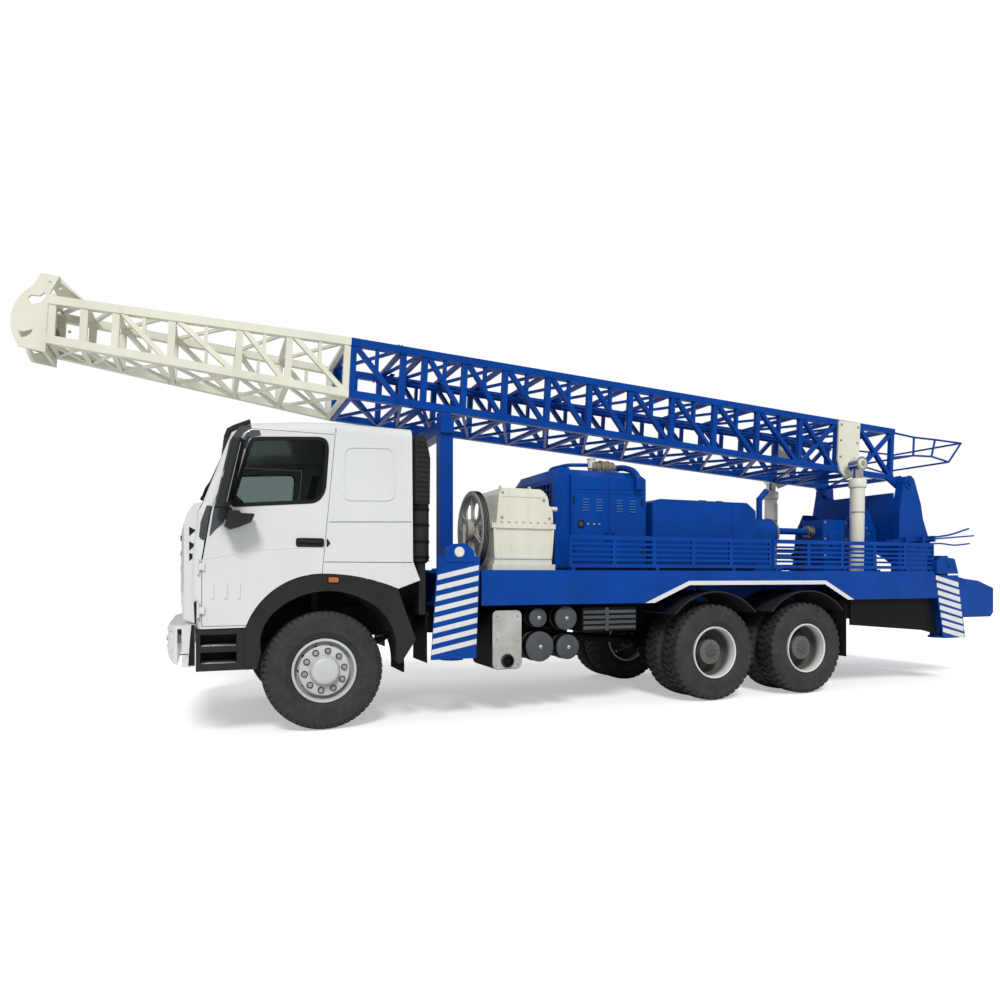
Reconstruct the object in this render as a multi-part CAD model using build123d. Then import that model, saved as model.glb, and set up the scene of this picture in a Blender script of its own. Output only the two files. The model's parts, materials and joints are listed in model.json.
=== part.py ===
from build123d import *
import math
import os

# Rotary drilling rig on a three-axle cab-over truck, stored with its mast lowered.
# Millimetres. +Z is up and the tyres stand on z = 0. The truck faces -X and its left
# side is -Y. Places are measured from the front axle, and save() moves the finished
# pieces so that the origin lies under the middle of the whole rig.

# Truck
HALF_WIDTH = 1250.0
WHEELBASE = 4325.0
TANDEM_SPREAD = 1350.0
REAR_AXLES_X = (WHEELBASE, WHEELBASE + TANDEM_SPREAD)
TYRE_RADIUS = 545.0
TYRE_WIDTH = 300.0
RIM_RADIUS = 292.0
RIM_WIDTH = 240.0
AXLE_Z = TYRE_RADIUS
FRONT_WHEEL_Y = 1010.0
REAR_WHEEL_Y = 915.0
TWIN_SPACING = 350.0
KINGPIN_Y = 800.0
KINGPIN_RADIUS = 25.0
SEAT_GAP = 0.3

RAIL_FRONT_X = -1000.0
RAIL_REAR_X = 8270.0
RAIL_OUTER_Y = 425.0
RAIL_FLANGE = 80.0
RAIL_WALL = 10.0
RAIL_BOTTOM_Z = 820.0
RAIL_TOP_Z = 1100.0

# Cab
CAB_HALF_WIDTH = HALF_WIDTH - 2.0
CAB_WALL = 50.0
CAB_EDGE_RADIUS = 90.0
CAB_FLOOR_Z = 1470.0
CAB_FLOOR_THICKNESS = 30.0
CAB_REAR_X = 790.0
DOOR_GAP = 5.0
HINGE_X = -1065.0
HINGE_Y = CAB_HALF_WIDTH + 12.0
HINGE_RADIUS = 11.0
HINGE_HEIGHTS = (1120.0, 1490.0)
GRILLE_OPENING = [(-640.0, 1120.0), (640.0, 1120.0), (820.0, 1840.0), (-820.0, 1840.0)]
GLASS = 6.0
SCREEN_HALF_WIDTH = CAB_HALF_WIDTH - 188.0
DOOR_FRONT_X = -1035.0
DOOR_POINTS = [(-640, 985), (DOOR_FRONT_X, 985), (DOOR_FRONT_X, 1560), (-1005, 1760),
               (-950, 2010), (-735, 2560), (-690, 2650), (-640, 2685), (75, 2685),
               (-40, 1440), (-40, 1250)]
WINDOW_POINTS = [(-800, 2020), (-640, 2580), (-600, 2600), (-30, 2640), (5, 2590),
                 (-25, 2170), (-90, 2080)]

# Deck
DECK_HALF_WIDTH = HALF_WIDTH
DECK_TOP_Z = 1470.0
DECK_PLATE = 30.0
DECK_SIDE_BOTTOM_Z = 1120.0
DECK_FRONT_X = 1490.0
DECK_REAR_X = 8270.0
ARCH_TOP_Z = 1310.0

# Mast, measured along it from its hinge pin (station) and square to it (height)
PIVOT_X = 7960.0
PIVOT_Z = 2700.0
PIVOT_RADIUS = 40.0
MAST_TILT = 3.0
MAST_HALF_WIDTH = 600.0
MAST_CHORD = 76.0
MAST_FOOT_STATION = 90.0
MAST_MIDDLE = 397.0
FOOT_HALF_DEPTH = 361.0
JOINT_HALF_DEPTH = 301.0
CROWN_STATION = 10330.0
CROWN_HALF_WIDTH = 270.0
CROWN_BOTTOM = 275.0
CROWN_TOP = 710.0
NOSE_STATION = 10190.0
NOSE_HEIGHT = 440.0
NOSE_RADIUS = 420.0
SHEAVE_STATION = 10450.0
SHEAVE_RADIUS = 150.0

MAST_BAYS = [  # length, bracing, from the foot towards the crown
    (690, "cross"), (360, "plate"), (640, "cross"), (710, "slash"), (670, "slash"),
    (630, "slash"), (590, "slash"), (545, "slash"), (530, "slash"), (520, "slash"),
    (470, "slash"), (440, "slash"), (230, "open"), (545, "slash"),
]
CROWN_BAYS = [  # length, bracing, from the joint towards the crown
    (585, "slash"), (457, "slash"), (600, "slash"), (476, "slash"), (262, "open"),
    (290 - SEAT_GAP, "open"),
]
JOINT_STATION = MAST_FOOT_STATION + sum(length for length, bracing in MAST_BAYS)
POST = 62.0
BRACE = 46.0
SUB_POST = 32.0
FACE_POST = 44.0
FACE_BRACE = 30.0

# Rear end of the mast's tail frame, the rearmost point of the rig
TAIL_REAR_X = 9315.0
TAIL_ROD = 14.0

# Jacks
JACK_Y = DECK_HALF_WIDTH - 150.0
JACK_TUBE = 170.0
JACK_LEG = 130.0
JACK_FOOT_Z = 615.0
FRONT_JACK_X = 1230.0
REAR_JACK_X = 8080.0
JACK_PANELS = {
    FRONT_JACK_X: [(1042, 1600), (1475, 1600), (1430, 610), (975, 610)],
    REAR_JACK_X: [(7830, 1420), (8270, 1420), (8410, 590), (7990, 590)],
}

# Winch and rotary table
WINCH_X = 7420.0
WINCH_Z = 1990.0
DRUM_CORE = 150.0
DRUM_FLANGE = 300.0
TABLE_X = 8990.0
TABLE_BORE_RADIUS = 130.0

# Pump's belt pulley
PULLEY_Y = -760.0
PULLEY_Z = 1890.0
PULLEY_RADIUS = 400.0

# Mast cylinders
CYLINDER_Y = 790.0
CYLINDER_RADIUS = 90.0
CYLINDER_FOOT_X = 6955.0
CYLINDER_FOOT_Z = 1300.0
CYLINDER_EYE_X = 6985.0
CYLINDER_EYE_Z = 2890.0
CYLINDER_CLOSED = math.hypot(CYLINDER_EYE_X - CYLINDER_FOOT_X, CYLINDER_EYE_Z - CYLINDER_FOOT_Z)
ROD_HEAD_LENGTH = 200.0
BARREL_LENGTH = CYLINDER_CLOSED - ROD_HEAD_LENGTH
ROD_RADIUS = 48.0


def nose_x():
    """The foremost point of the rig, on the round nose of the crown."""
    tilt = math.radians(MAST_TILT)
    along = -NOSE_STATION * math.cos(tilt) + NOSE_HEIGHT * math.sin(tilt)
    return PIVOT_X + along - NOSE_RADIUS


ORIGIN_SHIFT = -(nose_x() + TAIL_REAR_X) / 2


def block(x, y, z):
    """A block between two corners, each side given as a low and a high value."""
    size = (x[1] - x[0], y[1] - y[0], z[1] - z[0])
    return Pos((x[0] + x[1]) / 2, (y[0] + y[1]) / 2, (z[0] + z[1]) / 2) * Box(*size)


def side_prism(points, y):
    """An outline of (x, z) points, as thick as from y[0] to y[1]."""
    wire = Polyline([(px, y[0], pz) for px, pz in points], close=True)
    return extrude(make_face(wire), amount=y[1] - y[0], dir=(0, 1, 0))


def side_shape(edges, y):
    """The same for an outline of edges drawn in the plane y = 0."""
    face = Pos(0, y[0], 0) * make_face(edges)
    return extrude(face, amount=y[1] - y[0], dir=(0, 1, 0))


def plan_prism(points, z):
    """An outline of (x, y) points, as high as from z[0] to z[1]."""
    wire = Polyline([(px, py, z[0]) for px, py in points], close=True)
    return extrude(make_face(wire), amount=z[1] - z[0], dir=(0, 0, 1))


def front_prism(points, x):
    """An outline of (y, z) points, as long as from x[0] to x[1]."""
    wire = Polyline([(x[0], py, pz) for py, pz in points], close=True)
    return extrude(make_face(wire), amount=x[1] - x[0], dir=(1, 0, 0))


def turned(profile, centre):
    """A round piece on a Y axis: profile is (y, radius) points, centre its middle."""
    wire = Polyline([(0, py, radius) for py, radius in profile], close=True)
    return Pos(*centre) * revolve(make_face(wire), Axis.Y)


def bar(start, end, radius):
    """A round bar between two points."""
    run = Vector(*end) - Vector(*start)
    level = (Align.CENTER, Align.CENTER, Align.MIN)
    return Plane(origin=start, z_dir=run) * Cylinder(radius, run.length, align=level)


def beam(start, end, across, deep):
    """A square-edged member between two points: across is its size along Y."""
    run = Vector(*end) - Vector(*start)
    level = (Align.CENTER, Align.CENTER, Align.MIN)
    plane = Plane(origin=start, x_dir=(0, 1, 0), z_dir=run)
    return plane * Box(across, deep, run.length, align=level)


def mirrored(shape):
    """The same piece on the right side of the truck."""
    return mirror(shape, Plane.XZ)


def both(shape):
    """A piece and its mirror image, as solids of one node."""
    return [shape, mirrored(shape)]


def joined(shapes):
    """Touching pieces made one."""
    total = shapes[0]
    for shape in shapes[1:]:
        total = total + shape
    return total


def save(name, shapes):
    """Writes one node, moved to the rig's own origin."""
    solids = []
    for shape in shapes if isinstance(shapes, list) else [shapes]:
        solids += (Pos(ORIGIN_SHIFT, 0, 0) * shape).solids()
    export_step(Compound(solids), "parts/" + name + ".step")


# Wheels and axles

def tyre(y_middle, x_middle):
    """A heavy truck tyre as one solid ring."""
    half = TYRE_WIDTH / 2
    bead = RIM_RADIUS + SEAT_GAP
    outline = [
        Line((0, -half + 45, bead), (0, half - 45, bead)),
        ThreePointArc((0, half - 45, bead), (0, half, 405), (0, half - 12, 500)),
        Line((0, half - 12, 500), (0, half - 32, TYRE_RADIUS - 8)),
        ThreePointArc((0, half - 32, TYRE_RADIUS - 8), (0, 0, TYRE_RADIUS),
                      (0, -half + 32, TYRE_RADIUS - 8)),
        Line((0, -half + 32, TYRE_RADIUS - 8), (0, -half + 12, 500)),
        ThreePointArc((0, -half + 12, 500), (0, -half, 405), (0, -half + 45, bead)),
    ]
    return Pos(x_middle, y_middle, AXLE_Z) * revolve(make_face(outline), Axis.Y)


def front_rim():
    """A front rim with its bulged disc and hub, its outer side at -Y."""
    half = RIM_WIDTH / 2
    disc = turned([(-half, RIM_RADIUS), (half, RIM_RADIUS), (half, 272), (40, 262),
                   (10, 262), (-62, 215), (-70, 150), (60, 140), (60, 60), (-150, 60),
                   (-150, 0), (-182, 0), (-182, 90), (-175, 120), (-112, 140),
                   (-110, 205), (-45, 245), (-30, 258), (-half, 270)], (0, 0, 0))
    hole = Pos(0, 0, 222) * Rot(90, 0, 0) * Cylinder(16, 300)
    for index in range(10):
        disc -= Rot(0, 36 * index + 18, 0) * hole
    return disc


def twin_rim():
    """Two rims back to back on one hub, the outer side at -Y."""
    half = TWIN_SPACING / 2 + RIM_WIDTH / 2
    inner = TWIN_SPACING / 2 - RIM_WIDTH / 2
    rim = turned([(-half, RIM_RADIUS), (-half, 272), (-inner - 60, 262), (-12, 215),
                  (-12, 150), (-210, 140), (-225, 95), (-225, 0), (-190, 0),
                  (-190, 76), (half, 76), (half, 120), (12, 150), (12, 215),
                  (inner + 60, 262), (half, 272), (half, RIM_RADIUS),
                  (inner, RIM_RADIUS), (inner, 280), (20, 255), (-20, 255),
                  (-inner, 280), (-inner, RIM_RADIUS)], (0, 0, 0))
    hole = Pos(0, 0, 190) * Rot(90, 0, 0) * Cylinder(16, 60)
    for index in range(10):
        rim -= Rot(0, 36 * index, 0) * hole
    return rim


def front_axle():
    """A dropped I-beam axle with its kingpin bosses, and the leaf springs on it."""
    end, rise, low = KINGPIN_Y - 40, KINGPIN_Y - 100, KINGPIN_Y - 240
    bed = front_prism([(-end, 500), (-rise, 500), (-low, 430), (low, 430), (rise, 500),
                       (end, 500), (end, 600), (rise - 10, 600), (low, 540), (-low, 540),
                       (10 - rise, 600), (-end, 600)], (-60, 60))
    pocket = block((18, 60), (40 - low, low - 40), (455, 515))
    bed -= pocket + Pos(-78, 0, 0) * pocket
    boss = Pos(0, -KINGPIN_Y, 550) * Cylinder(58, 150)
    hole = Pos(0, -KINGPIN_Y, 550) * Cylinder(KINGPIN_RADIUS + 0.5, 200)
    bed = bed + boss + mirrored(boss) - hole - mirrored(hole)
    top = ThreePointArc((-800, 0, 800), (0, 0, 698), (800, 0, 800))
    low = ThreePointArc((800, 0, 780), (0, 0, 590), (-800, 0, 780))
    spring = side_shape([top, Line(top @ 1, low @ 0), low, Line(low @ 1, top @ 0)],
                        (-440, -360))
    seat = block((-70, 70), (-440, -360), (540, 592))
    hangers = [block((x - 45, x + 45), (-440, -360), (796, RAIL_BOTTOM_Z))
               for x in (-760, 760)]
    spring = joined([spring, seat] + hangers)
    return [bed] + both(spring)


def knuckle():
    """The left steering knuckle: a fork on the kingpin, the spindle and an arm."""
    upper = block((-55, 55), (-KINGPIN_Y - 60, -KINGPIN_Y + 55), (632, 690))
    lower = block((-55, 55), (-KINGPIN_Y - 60, -KINGPIN_Y + 55), (410, 468))
    pin = Pos(0, -KINGPIN_Y, 550) * Cylinder(KINGPIN_RADIUS, 200)
    cheek = block((-70, 70), (-KINGPIN_Y - 120, -KINGPIN_Y - 60), (410, 690))
    spindle = bar((0, -KINGPIN_Y - 100, AXLE_Z), (0, -FRONT_WHEEL_Y - 140, AXLE_Z), 59.4)
    arm = block((40, 260), (-KINGPIN_Y - 20, -KINGPIN_Y + 20), (430, 462))
    return joined([upper, lower, pin, cheek, spindle, arm])


def tie_rod():
    """The rod that joins both knuckles behind the axle."""
    rod = bar((235, -KINGPIN_Y, 402), (235, KINGPIN_Y, 402), 22)
    end = Pos(235, -KINGPIN_Y, 404) * Cylinder(32, 50)
    return joined([rod, end, mirrored(end)])


def propeller_shafts(gap):
    """The shaft to the first driven axle and the one between both, grown by gap."""
    front, rear = REAR_AXLES_X
    shaft = bar((1100, 0, 840), (front - 300 + gap, 0, AXLE_Z + 60), 50 + gap)
    link = bar((front + 200 - gap, 0, AXLE_Z + 15), (rear - 300 + gap, 0, AXLE_Z + 60), 45 + gap)
    return [shaft, link]


def rear_axles():
    """Both driven axles with their housings, joined by the springs and their trunnion."""
    solids = []
    for x in REAR_AXLES_X:
        tube = bar((x, -600, AXLE_Z), (x, 600, AXLE_Z), 75)
        spindle = bar((x, -REAR_WHEEL_Y - 180, AXLE_Z), (x, REAR_WHEEL_Y + 180, AXLE_Z), 75)
        bulge = [ThreePointArc((0, -240, 70), (0, 0, 215), (0, 240, 70)),
                 Line((0, 240, 70), (0, 240, 0)), Line((0, 240, 0), (0, -240, 0)),
                 Line((0, -240, 0), (0, -240, 70))]
        banjo = Pos(x, 0, AXLE_Z) * revolve(make_face(bulge), Axis.Y)
        nose = bar((x - 330, 0, AXLE_Z + 60), (x, 0, AXLE_Z + 20), 95)
        saddle = block((x - 70, x + 70), (-530, -440), (AXLE_Z + 40, 705))
        solids.append(joined([tube, spindle, banjo, nose, saddle, mirrored(saddle)]))
    front, rear = REAR_AXLES_X
    middle = (front + rear) / 2
    top = ThreePointArc((front - 90, 0, 730), (middle, 0, 850), (rear + 90, 0, 730))
    low = ThreePointArc((rear + 90, 0, 690.3), (middle, 0, 700), (front - 90, 0, 690.3))
    outline = [top, Line(top @ 1, low @ 0), low, Line(low @ 1, top @ 0)]
    spring = side_shape(outline, (-528, -442))
    trunnion = block((middle - 130, middle + 130), (-445, -RAIL_OUTER_Y), (600, RAIL_TOP_Z))
    spring = spring + trunnion
    bogie = joined([solids[0]] + both(spring) + [solids[1]])
    for shaft in propeller_shafts(SEAT_GAP):
        bogie -= shaft
    return bogie


def chassis_frame():
    """Two C rails joined by cross members, with the cab's posts and the bumper's horns."""
    rail = block((RAIL_FRONT_X, RAIL_REAR_X), (-RAIL_OUTER_Y, -RAIL_OUTER_Y + RAIL_FLANGE),
                 (RAIL_BOTTOM_Z, RAIL_TOP_Z))
    rail -= block((RAIL_FRONT_X, RAIL_REAR_X),
                  (-RAIL_OUTER_Y + RAIL_WALL, -RAIL_OUTER_Y + RAIL_FLANGE),
                  (RAIL_BOTTOM_Z + RAIL_WALL, RAIL_TOP_Z - RAIL_WALL))
    inner = RAIL_OUTER_Y - RAIL_WALL
    members = [block((x - 50, x + 50), (-inner, inner), (960, 1080))
               for x in (-930, 1250, 2500, 3700, 5000, 6400, 7500, 8200)]
    posts = []
    for x in (-960, 560):
        post = block((x, x + 80), (-RAIL_OUTER_Y, -RAIL_OUTER_Y + RAIL_FLANGE),
                     (RAIL_TOP_Z, CAB_FLOOR_Z - CAB_FLOOR_THICKNESS - SEAT_GAP))
        posts += both(post)
    horn = block((-1230 + SEAT_GAP, RAIL_FRONT_X), (-RAIL_OUTER_Y, -RAIL_OUTER_Y + RAIL_FLANGE),
                 (860, 940))
    return joined([rail, mirrored(rail)] + members + posts + both(horn))


def powertrain():
    """The engine as one plain block, the gearbox and the propeller shafts."""
    engine = block((-620, 560), (-320, 320), (760, 1330))
    gearbox = block((560, 1150), (-190, 190), (780, 1160))
    shaft, link = propeller_shafts(0)
    mounts = [block((x - 40, x + 40), (-415, -320), (900, 1000)) for x in (-400, 300)]
    unit = joined([engine, gearbox, shaft] + mounts + [mirrored(m) for m in mounts])
    return [unit, link]


# Cab

def cab_outline():
    """The side view of the cab's skin, from its front foot round to the wheel arch."""
    front = [(-690, 965), (-1085, 960), (-1120, 1300), (-1110, 1600), (-1070, 1960),
             (-1030, 2040), (-800, 2660), (-640, 2745), (-230, 2790), (120, 2810),
             (CAB_REAR_X, 2800), (800, 1550), (870, 1370), (660, 1292)]
    runs = [Line((ax, 0, az), (bx, 0, bz)) for (ax, az), (bx, bz) in zip(front, front[1:])]
    rear_arch = ThreePointArc((660, 0, 1292), (330, 0, 1395), (-10, 0, 1432))
    front_arch = ThreePointArc((-10, 0, 1432), (-430, 0, 1308), (-690, 0, 965))
    return runs + [rear_arch, front_arch]


def cab_body():
    """The cab's outer form, solid, with its front and roof edges rounded."""
    body = side_shape(cab_outline(), (-CAB_HALF_WIDTH, CAB_HALF_WIDTH))
    rounded = [edge for edge in body.edges().filter_by(GeomType.LINE)
               if abs(edge.center().Y) > CAB_HALF_WIDTH - 1
               and edge.center().X < CAB_REAR_X - 10 and edge.center().Z > 1000
               and not (edge.center().X > 700 and edge.center().Z < 2000)]
    return fillet(rounded, CAB_EDGE_RADIUS)


def cab_room():
    """The cab's left skin moved down and back, to hold the arch clear of the door."""
    skin = side_shape(cab_outline(), (-CAB_HALF_WIDTH - 50, -CAB_HALF_WIDTH + 250))
    return Pos(0, 0, -DOOR_GAP - 0.5) * skin + Pos(DOOR_GAP + 0.2, 0, -2) * skin


def grown(points, gap):
    """The outline of points moved outwards by gap, or inwards if it is negative."""
    face = make_face(Polyline([(px, pz) for px, pz in points], close=True))
    return offset(face, amount=gap, kind=Kind.INTERSECTION)


def upright(face, y):
    """Stands a face drawn as (x, z) up in the side view and gives it thickness."""
    standing = Pos(0, y[0], 0) * Rot(90, 0, 0) * face
    return extrude(standing, amount=y[1] - y[0], dir=(0, 1, 0))


def cab_shell():
    """The hollow cab: skin, floor, footwells, door openings and windscreen opening."""
    wall = CAB_HALF_WIDTH - CAB_WALL
    cavity = side_prism([(-1060, CAB_FLOOR_Z), (-1060, 1600), (-1018, 1960), (-975, 2040),
                         (-752, 2620), (-620, 2695), (-230, 2740), (120, 2760),
                         (CAB_REAR_X - CAB_WALL, 2750), (CAB_REAR_X - CAB_WALL, CAB_FLOOR_Z)],
                        (-wall, wall))
    footwell = block((-1035, -780), (-wall, -480), (1015, CAB_FLOOR_Z + 10))
    tunnel = block((-1200, 900), (-450, 450), (900, CAB_FLOOR_Z - CAB_FLOOR_THICKNESS))
    under = block((100, 900), (-wall, wall), (1200, CAB_FLOOR_Z - CAB_FLOOR_THICKNESS))
    shell = cab_body() - cavity - footwell - mirrored(footwell) - tunnel - under
    opening = upright(grown(DOOR_POINTS, DOOR_GAP), (-CAB_HALF_WIDTH - 5, -wall + 5))
    shell = shell - opening - mirrored(opening)
    screen = side_prism([(-1130, 2100), (-960, 2020), (-700, 2580), (-860, 2680)],
                        (-SCREEN_HALF_WIDTH, SCREEN_HALF_WIDTH))
    shell -= screen
    for z in HINGE_HEIGHTS:
        for low, high in ((z - 62, z - 31), (z + 31, z + 62)):
            lug = block((HINGE_X - HINGE_RADIUS, HINGE_X + HINGE_RADIUS),
                        (-HINGE_Y, -CAB_HALF_WIDTH + 45), (low, high))
            lug += bar((HINGE_X, -HINGE_Y, low), (HINGE_X, -HINGE_Y, high), HINGE_RADIUS)
            shell = shell + lug + mirrored(lug)
    return shell


def door():
    """The left door: the cab's own skin inside the door's outline, window cut out."""
    leaf = upright(grown(DOOR_POINTS, 0), (-CAB_HALF_WIDTH, -CAB_HALF_WIDTH + CAB_WALL))
    leaf &= cab_body()
    window = upright(grown(WINDOW_POINTS, 0), (-CAB_HALF_WIDTH - 5, -CAB_HALF_WIDTH + 58))
    leaf -= window
    for z in HINGE_HEIGHTS:
        leaf += block((HINGE_X, DOOR_FRONT_X + 20), (-HINGE_Y - 8, -CAB_HALF_WIDTH - 1),
                      (z - 30, z + 30))
        leaf += block((DOOR_FRONT_X, DOOR_FRONT_X + 20), (-HINGE_Y - 8, -CAB_HALF_WIDTH + 10),
                      (z - 30, z + 30))
        leaf += bar((HINGE_X, -HINGE_Y, z - 30), (HINGE_X, -HINGE_Y, z + 30), HINGE_RADIUS)
    return leaf


def door_glass():
    """The left door's window."""
    outer = -CAB_HALF_WIDTH + 20
    return upright(grown(WINDOW_POINTS, -SEAT_GAP), (outer, outer + GLASS))


def cab_glass():
    """The windscreen."""
    return side_prism([(-1022, 2094), (-1015, 2091), (-797, 2608), (-805, 2611)],
                      (-SCREEN_HALF_WIDTH + SEAT_GAP, SCREEN_HALF_WIDTH - SEAT_GAP))


def door_mirror():
    """The left mirror: a tall housing on two arms from the door's front edge."""
    skin = -CAB_HALF_WIDTH
    loop = [(-945, skin - 60), (-925, skin - 225), (-860, skin - 240), (-815, skin - 60)]
    foot = make_face(Polyline([(px, py, 1985) for px, py in loop], close=True))
    housing = extrude(foot, amount=590, dir=(125, 0, 575))
    housing = fillet(housing.edges().filter_by(lambda e: e.length > 400), 22)
    lower = side_prism([(-862, 1830), (-820, 1802), (-757, 1821), (-650, 1868), (-622, 1934),
                        (-733, 1936), (-745, 1958), (-830, 1958)], (skin - 215, skin - 40))
    lower = fillet(lower.edges().filter_by(Axis.Y), 9)
    stem = block((-850, -810), (skin - 152, skin - 92), (1950, 1990))
    arms = [block((x, x + 45), (skin - 72, skin), (z, z + 40)) for x, z in ((-850, 1890), (-838, 2180))]
    return joined([housing, lower, stem] + arms)


def cab_interior():
    """Seats, bunk, dashboard and steering wheel."""
    floor = CAB_FLOOR_Z
    seats = []
    for y in (-600, 600):
        base = block((-420, -80), (y - 200, y + 200), (floor, floor + 260))
        cushion = block((-520, -20), (y - 250, y + 250), (floor + 260, floor + 400))
        back = side_prism([(-60, floor + 400), (80, floor + 400), (190, floor + 1050),
                           (90, floor + 1050)], (y - 240, y + 240))
        seats.append(joined([base, cushion, back]))
    half = CAB_HALF_WIDTH - 98
    bunk = block((260, 735), (-half, half), (floor, floor + 480))
    dash = side_prism([(-1000, floor), (-900, floor), (-740, 1900), (-860, 2020),
                       (-950, 1990), (-1010, 1800), (-1010, 1600)], (-half, half))
    column = bar((-880, -600, 1800), (-640, -600, 1990), 30)
    wheel = Plane(origin=(-630, -600, 1998), z_dir=(240, 0, 190)) * Torus(215, 16)
    spoke = Plane(origin=(-630, -600, 1998), z_dir=(240, 0, 190)) * Box(50, 420, 16)
    steering = joined([column, spoke, wheel]) - dash - Pos(SEAT_GAP, 0, 0) * dash
    return seats + [bunk, dash, steering]


def plan_front(front_x, corner_x, half_width, depth, z):
    """A block whose front is a shallow arc and whose front corners are cut back."""
    edges = [ThreePointArc((corner_x, -half_width + 130, z[0]), (front_x, 0, z[0]),
                           (corner_x, half_width - 130, z[0])),
             Line((corner_x, half_width - 130, z[0]), (corner_x + 130, half_width, z[0])),
             Line((corner_x + 130, half_width, z[0]), (depth, half_width, z[0])),
             Line((depth, half_width, z[0]), (depth, -half_width, z[0])),
             Line((depth, -half_width, z[0]), (corner_x + 130, -half_width, z[0])),
             Line((corner_x + 130, -half_width, z[0]), (corner_x, -half_width + 130, z[0]))]
    return extrude(make_face(edges), amount=z[1] - z[0], dir=(0, 0, 1))


def front_panel():
    """The bulged panel below the windscreen with an opening for the grille."""
    bulge = side_prism([(-1090, 1005), (-1190, 1040), (-1235, 1300), (-1240, 1560),
                        (-1205, 1800), (-1150, 1960), (-1100, 2030), (-1031.5, 2038),
                        (-1070.4, 1960), (-1110.4, 1600), (-1120.4, 1300)],
                       (-CAB_HALF_WIDTH + 58, CAB_HALF_WIDTH - 58))
    bulge &= plan_front(-1242, -1180, CAB_HALF_WIDTH - 58, -900, (900, 2100))
    return bulge - front_prism(GRILLE_OPENING, (-1400, -900))


def grille():
    """Upright mesh panel and level bars that fill the opening of the front panel."""
    back = front_prism([(-1000, 1100), (1000, 1100), (1000, 1860), (-1000, 1860)],
                       (-1150, -1130))
    bars = [block((-1215, -1150), (-1000, 1000), (z - 22, z + 22))
            for z in (1190, 1330, 1470, 1610, 1750)]
    opening = front_prism([(y - SEAT_GAP * y / abs(y), z + SEAT_GAP * (1 if z < 1500 else -1))
                           for y, z in GRILLE_OPENING], (-1300, -1000))
    return joined([back] + bars) & opening


def bumper():
    """The front bumper with its lower lip, lamp recesses and side returns."""
    body = side_prism([(-1345, 740), (-1350, 900), (-1310, 985), (-1090, 1000),
                       (-1090, 640), (-1200, 640), (-1310, 680)],
                      (-CAB_HALF_WIDTH + 3, CAB_HALF_WIDTH - 3))
    body &= plan_front(-1352, -1260, CAB_HALF_WIDTH - 3, -900, (600, 1050))
    inner = CAB_HALF_WIDTH - 68
    hollow = block((-1230, -1000), (-inner, inner), (600, 960))
    lamp = block((-1400, -1240), (-1120, -760), (790, 930))
    slot = block((-1400, -1240), (-560, 560), (760, 900))
    return body - hollow - lamp - mirrored(lamp) - slot


def lamps():
    """Head lamps in the bumper and tail lamps below the deck."""
    head = block((-1290, -1240 - SEAT_GAP), (-1119, -761), (791, 929))
    tail = block((9290 + SEAT_GAP, 9310), (-900, -700), (950, 1050))
    return both(head) + both(tail)


def fenders():
    """Dark arches over the front wheels, entry steps and the rear mudguards."""
    outer = [ThreePointArc((-697, 0, 958), (-436, 0, 1320), (-10, 0, 1445)),
             ThreePointArc((-10, 0, 1445), (330, 0, 1408), (655, 0, 1300)),
             Line((655, 0, 1300), (690, 0, 1190)), Line((690, 0, 1190), (830, 0, 810)),
             Line((830, 0, 810), (680, 0, 585)), Line((680, 0, 585), (630, 0, 630)),
             ThreePointArc((630, 0, 630), (560, 0, 1010), (330, 0, 1200)),
             ThreePointArc((330, 0, 1200), (-60, 0, 1272), (-430, 0, 1110)),
             ThreePointArc((-430, 0, 1110), (-545, 0, 950), (-562, 0, 750)),
             Line((-562, 0, 750), (-600, 0, 600)), Line((-600, 0, 600), (-697, 0, 600)),
             Line((-697, 0, 600), (-697, 0, 958))]
    skin = -CAB_HALF_WIDTH
    arch = side_shape(outer, (skin + 1, skin + 118)) - cab_room()
    steps = block((-1085, -697), (skin + 13, skin + 388), (600, 955))
    steps -= block((-1050, -760), (skin - 52, skin + 288), (660, 760))
    steps -= block((-1050, -760), (skin - 52, skin + 238), (810, 910))
    span = math.radians(26)
    rings = []
    for radius in (735, 750):
        side = radius * math.cos(span)
        rise = AXLE_Z + radius * math.sin(span)
        rings.append(ThreePointArc((-side, 0, rise), (0, 0, AXLE_Z + radius), (side, 0, rise)))
    liner = side_shape([rings[0], Line(rings[0] @ 1, rings[1] @ 1), rings[1],
                        Line(rings[1] @ 0, rings[0] @ 0)], (skin + 117, -640))
    stay = block((-30, 30), (-660, -RAIL_OUTER_Y), (1262, 1290))
    stay += block((-30, 30), (-465, -RAIL_OUTER_Y), (1000, 1290))
    front = arch + steps + liner + stay
    guards = []
    for x in REAR_AXLES_X:
        guard = side_shape([ThreePointArc((x - 560, 0, 1000), (x, 0, 1240), (x + 560, 0, 1000)),
                            Line((x + 560, 0, 1000), (x + 550, 0, 985)),
                            ThreePointArc((x + 550, 0, 985), (x, 0, 1225), (x - 550, 0, 985)),
                            Line((x - 550, 0, 985), (x - 560, 0, 1000))],
                           (-DECK_HALF_WIDTH + 10, -600))
        guards.append(guard + block((x - 20, x + 20), (-940, -900), (1238, 1345)))
    return both(front) + both(guards[0]) + both(guards[1])


def sun_visor():
    """The dark visor over the windscreen."""
    shade = side_prism([(-826, 2600), (-866, 2606), (-838, 2685), (-785, 2720), (-650, 2782),
                        (-640, 2752), (-806, 2664)],
                       (-CAB_HALF_WIDTH + 68, CAB_HALF_WIDTH - 68))
    return fillet(shade.edges().filter_by(Axis.Y).group_by(Axis.X)[0], 12)


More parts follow.
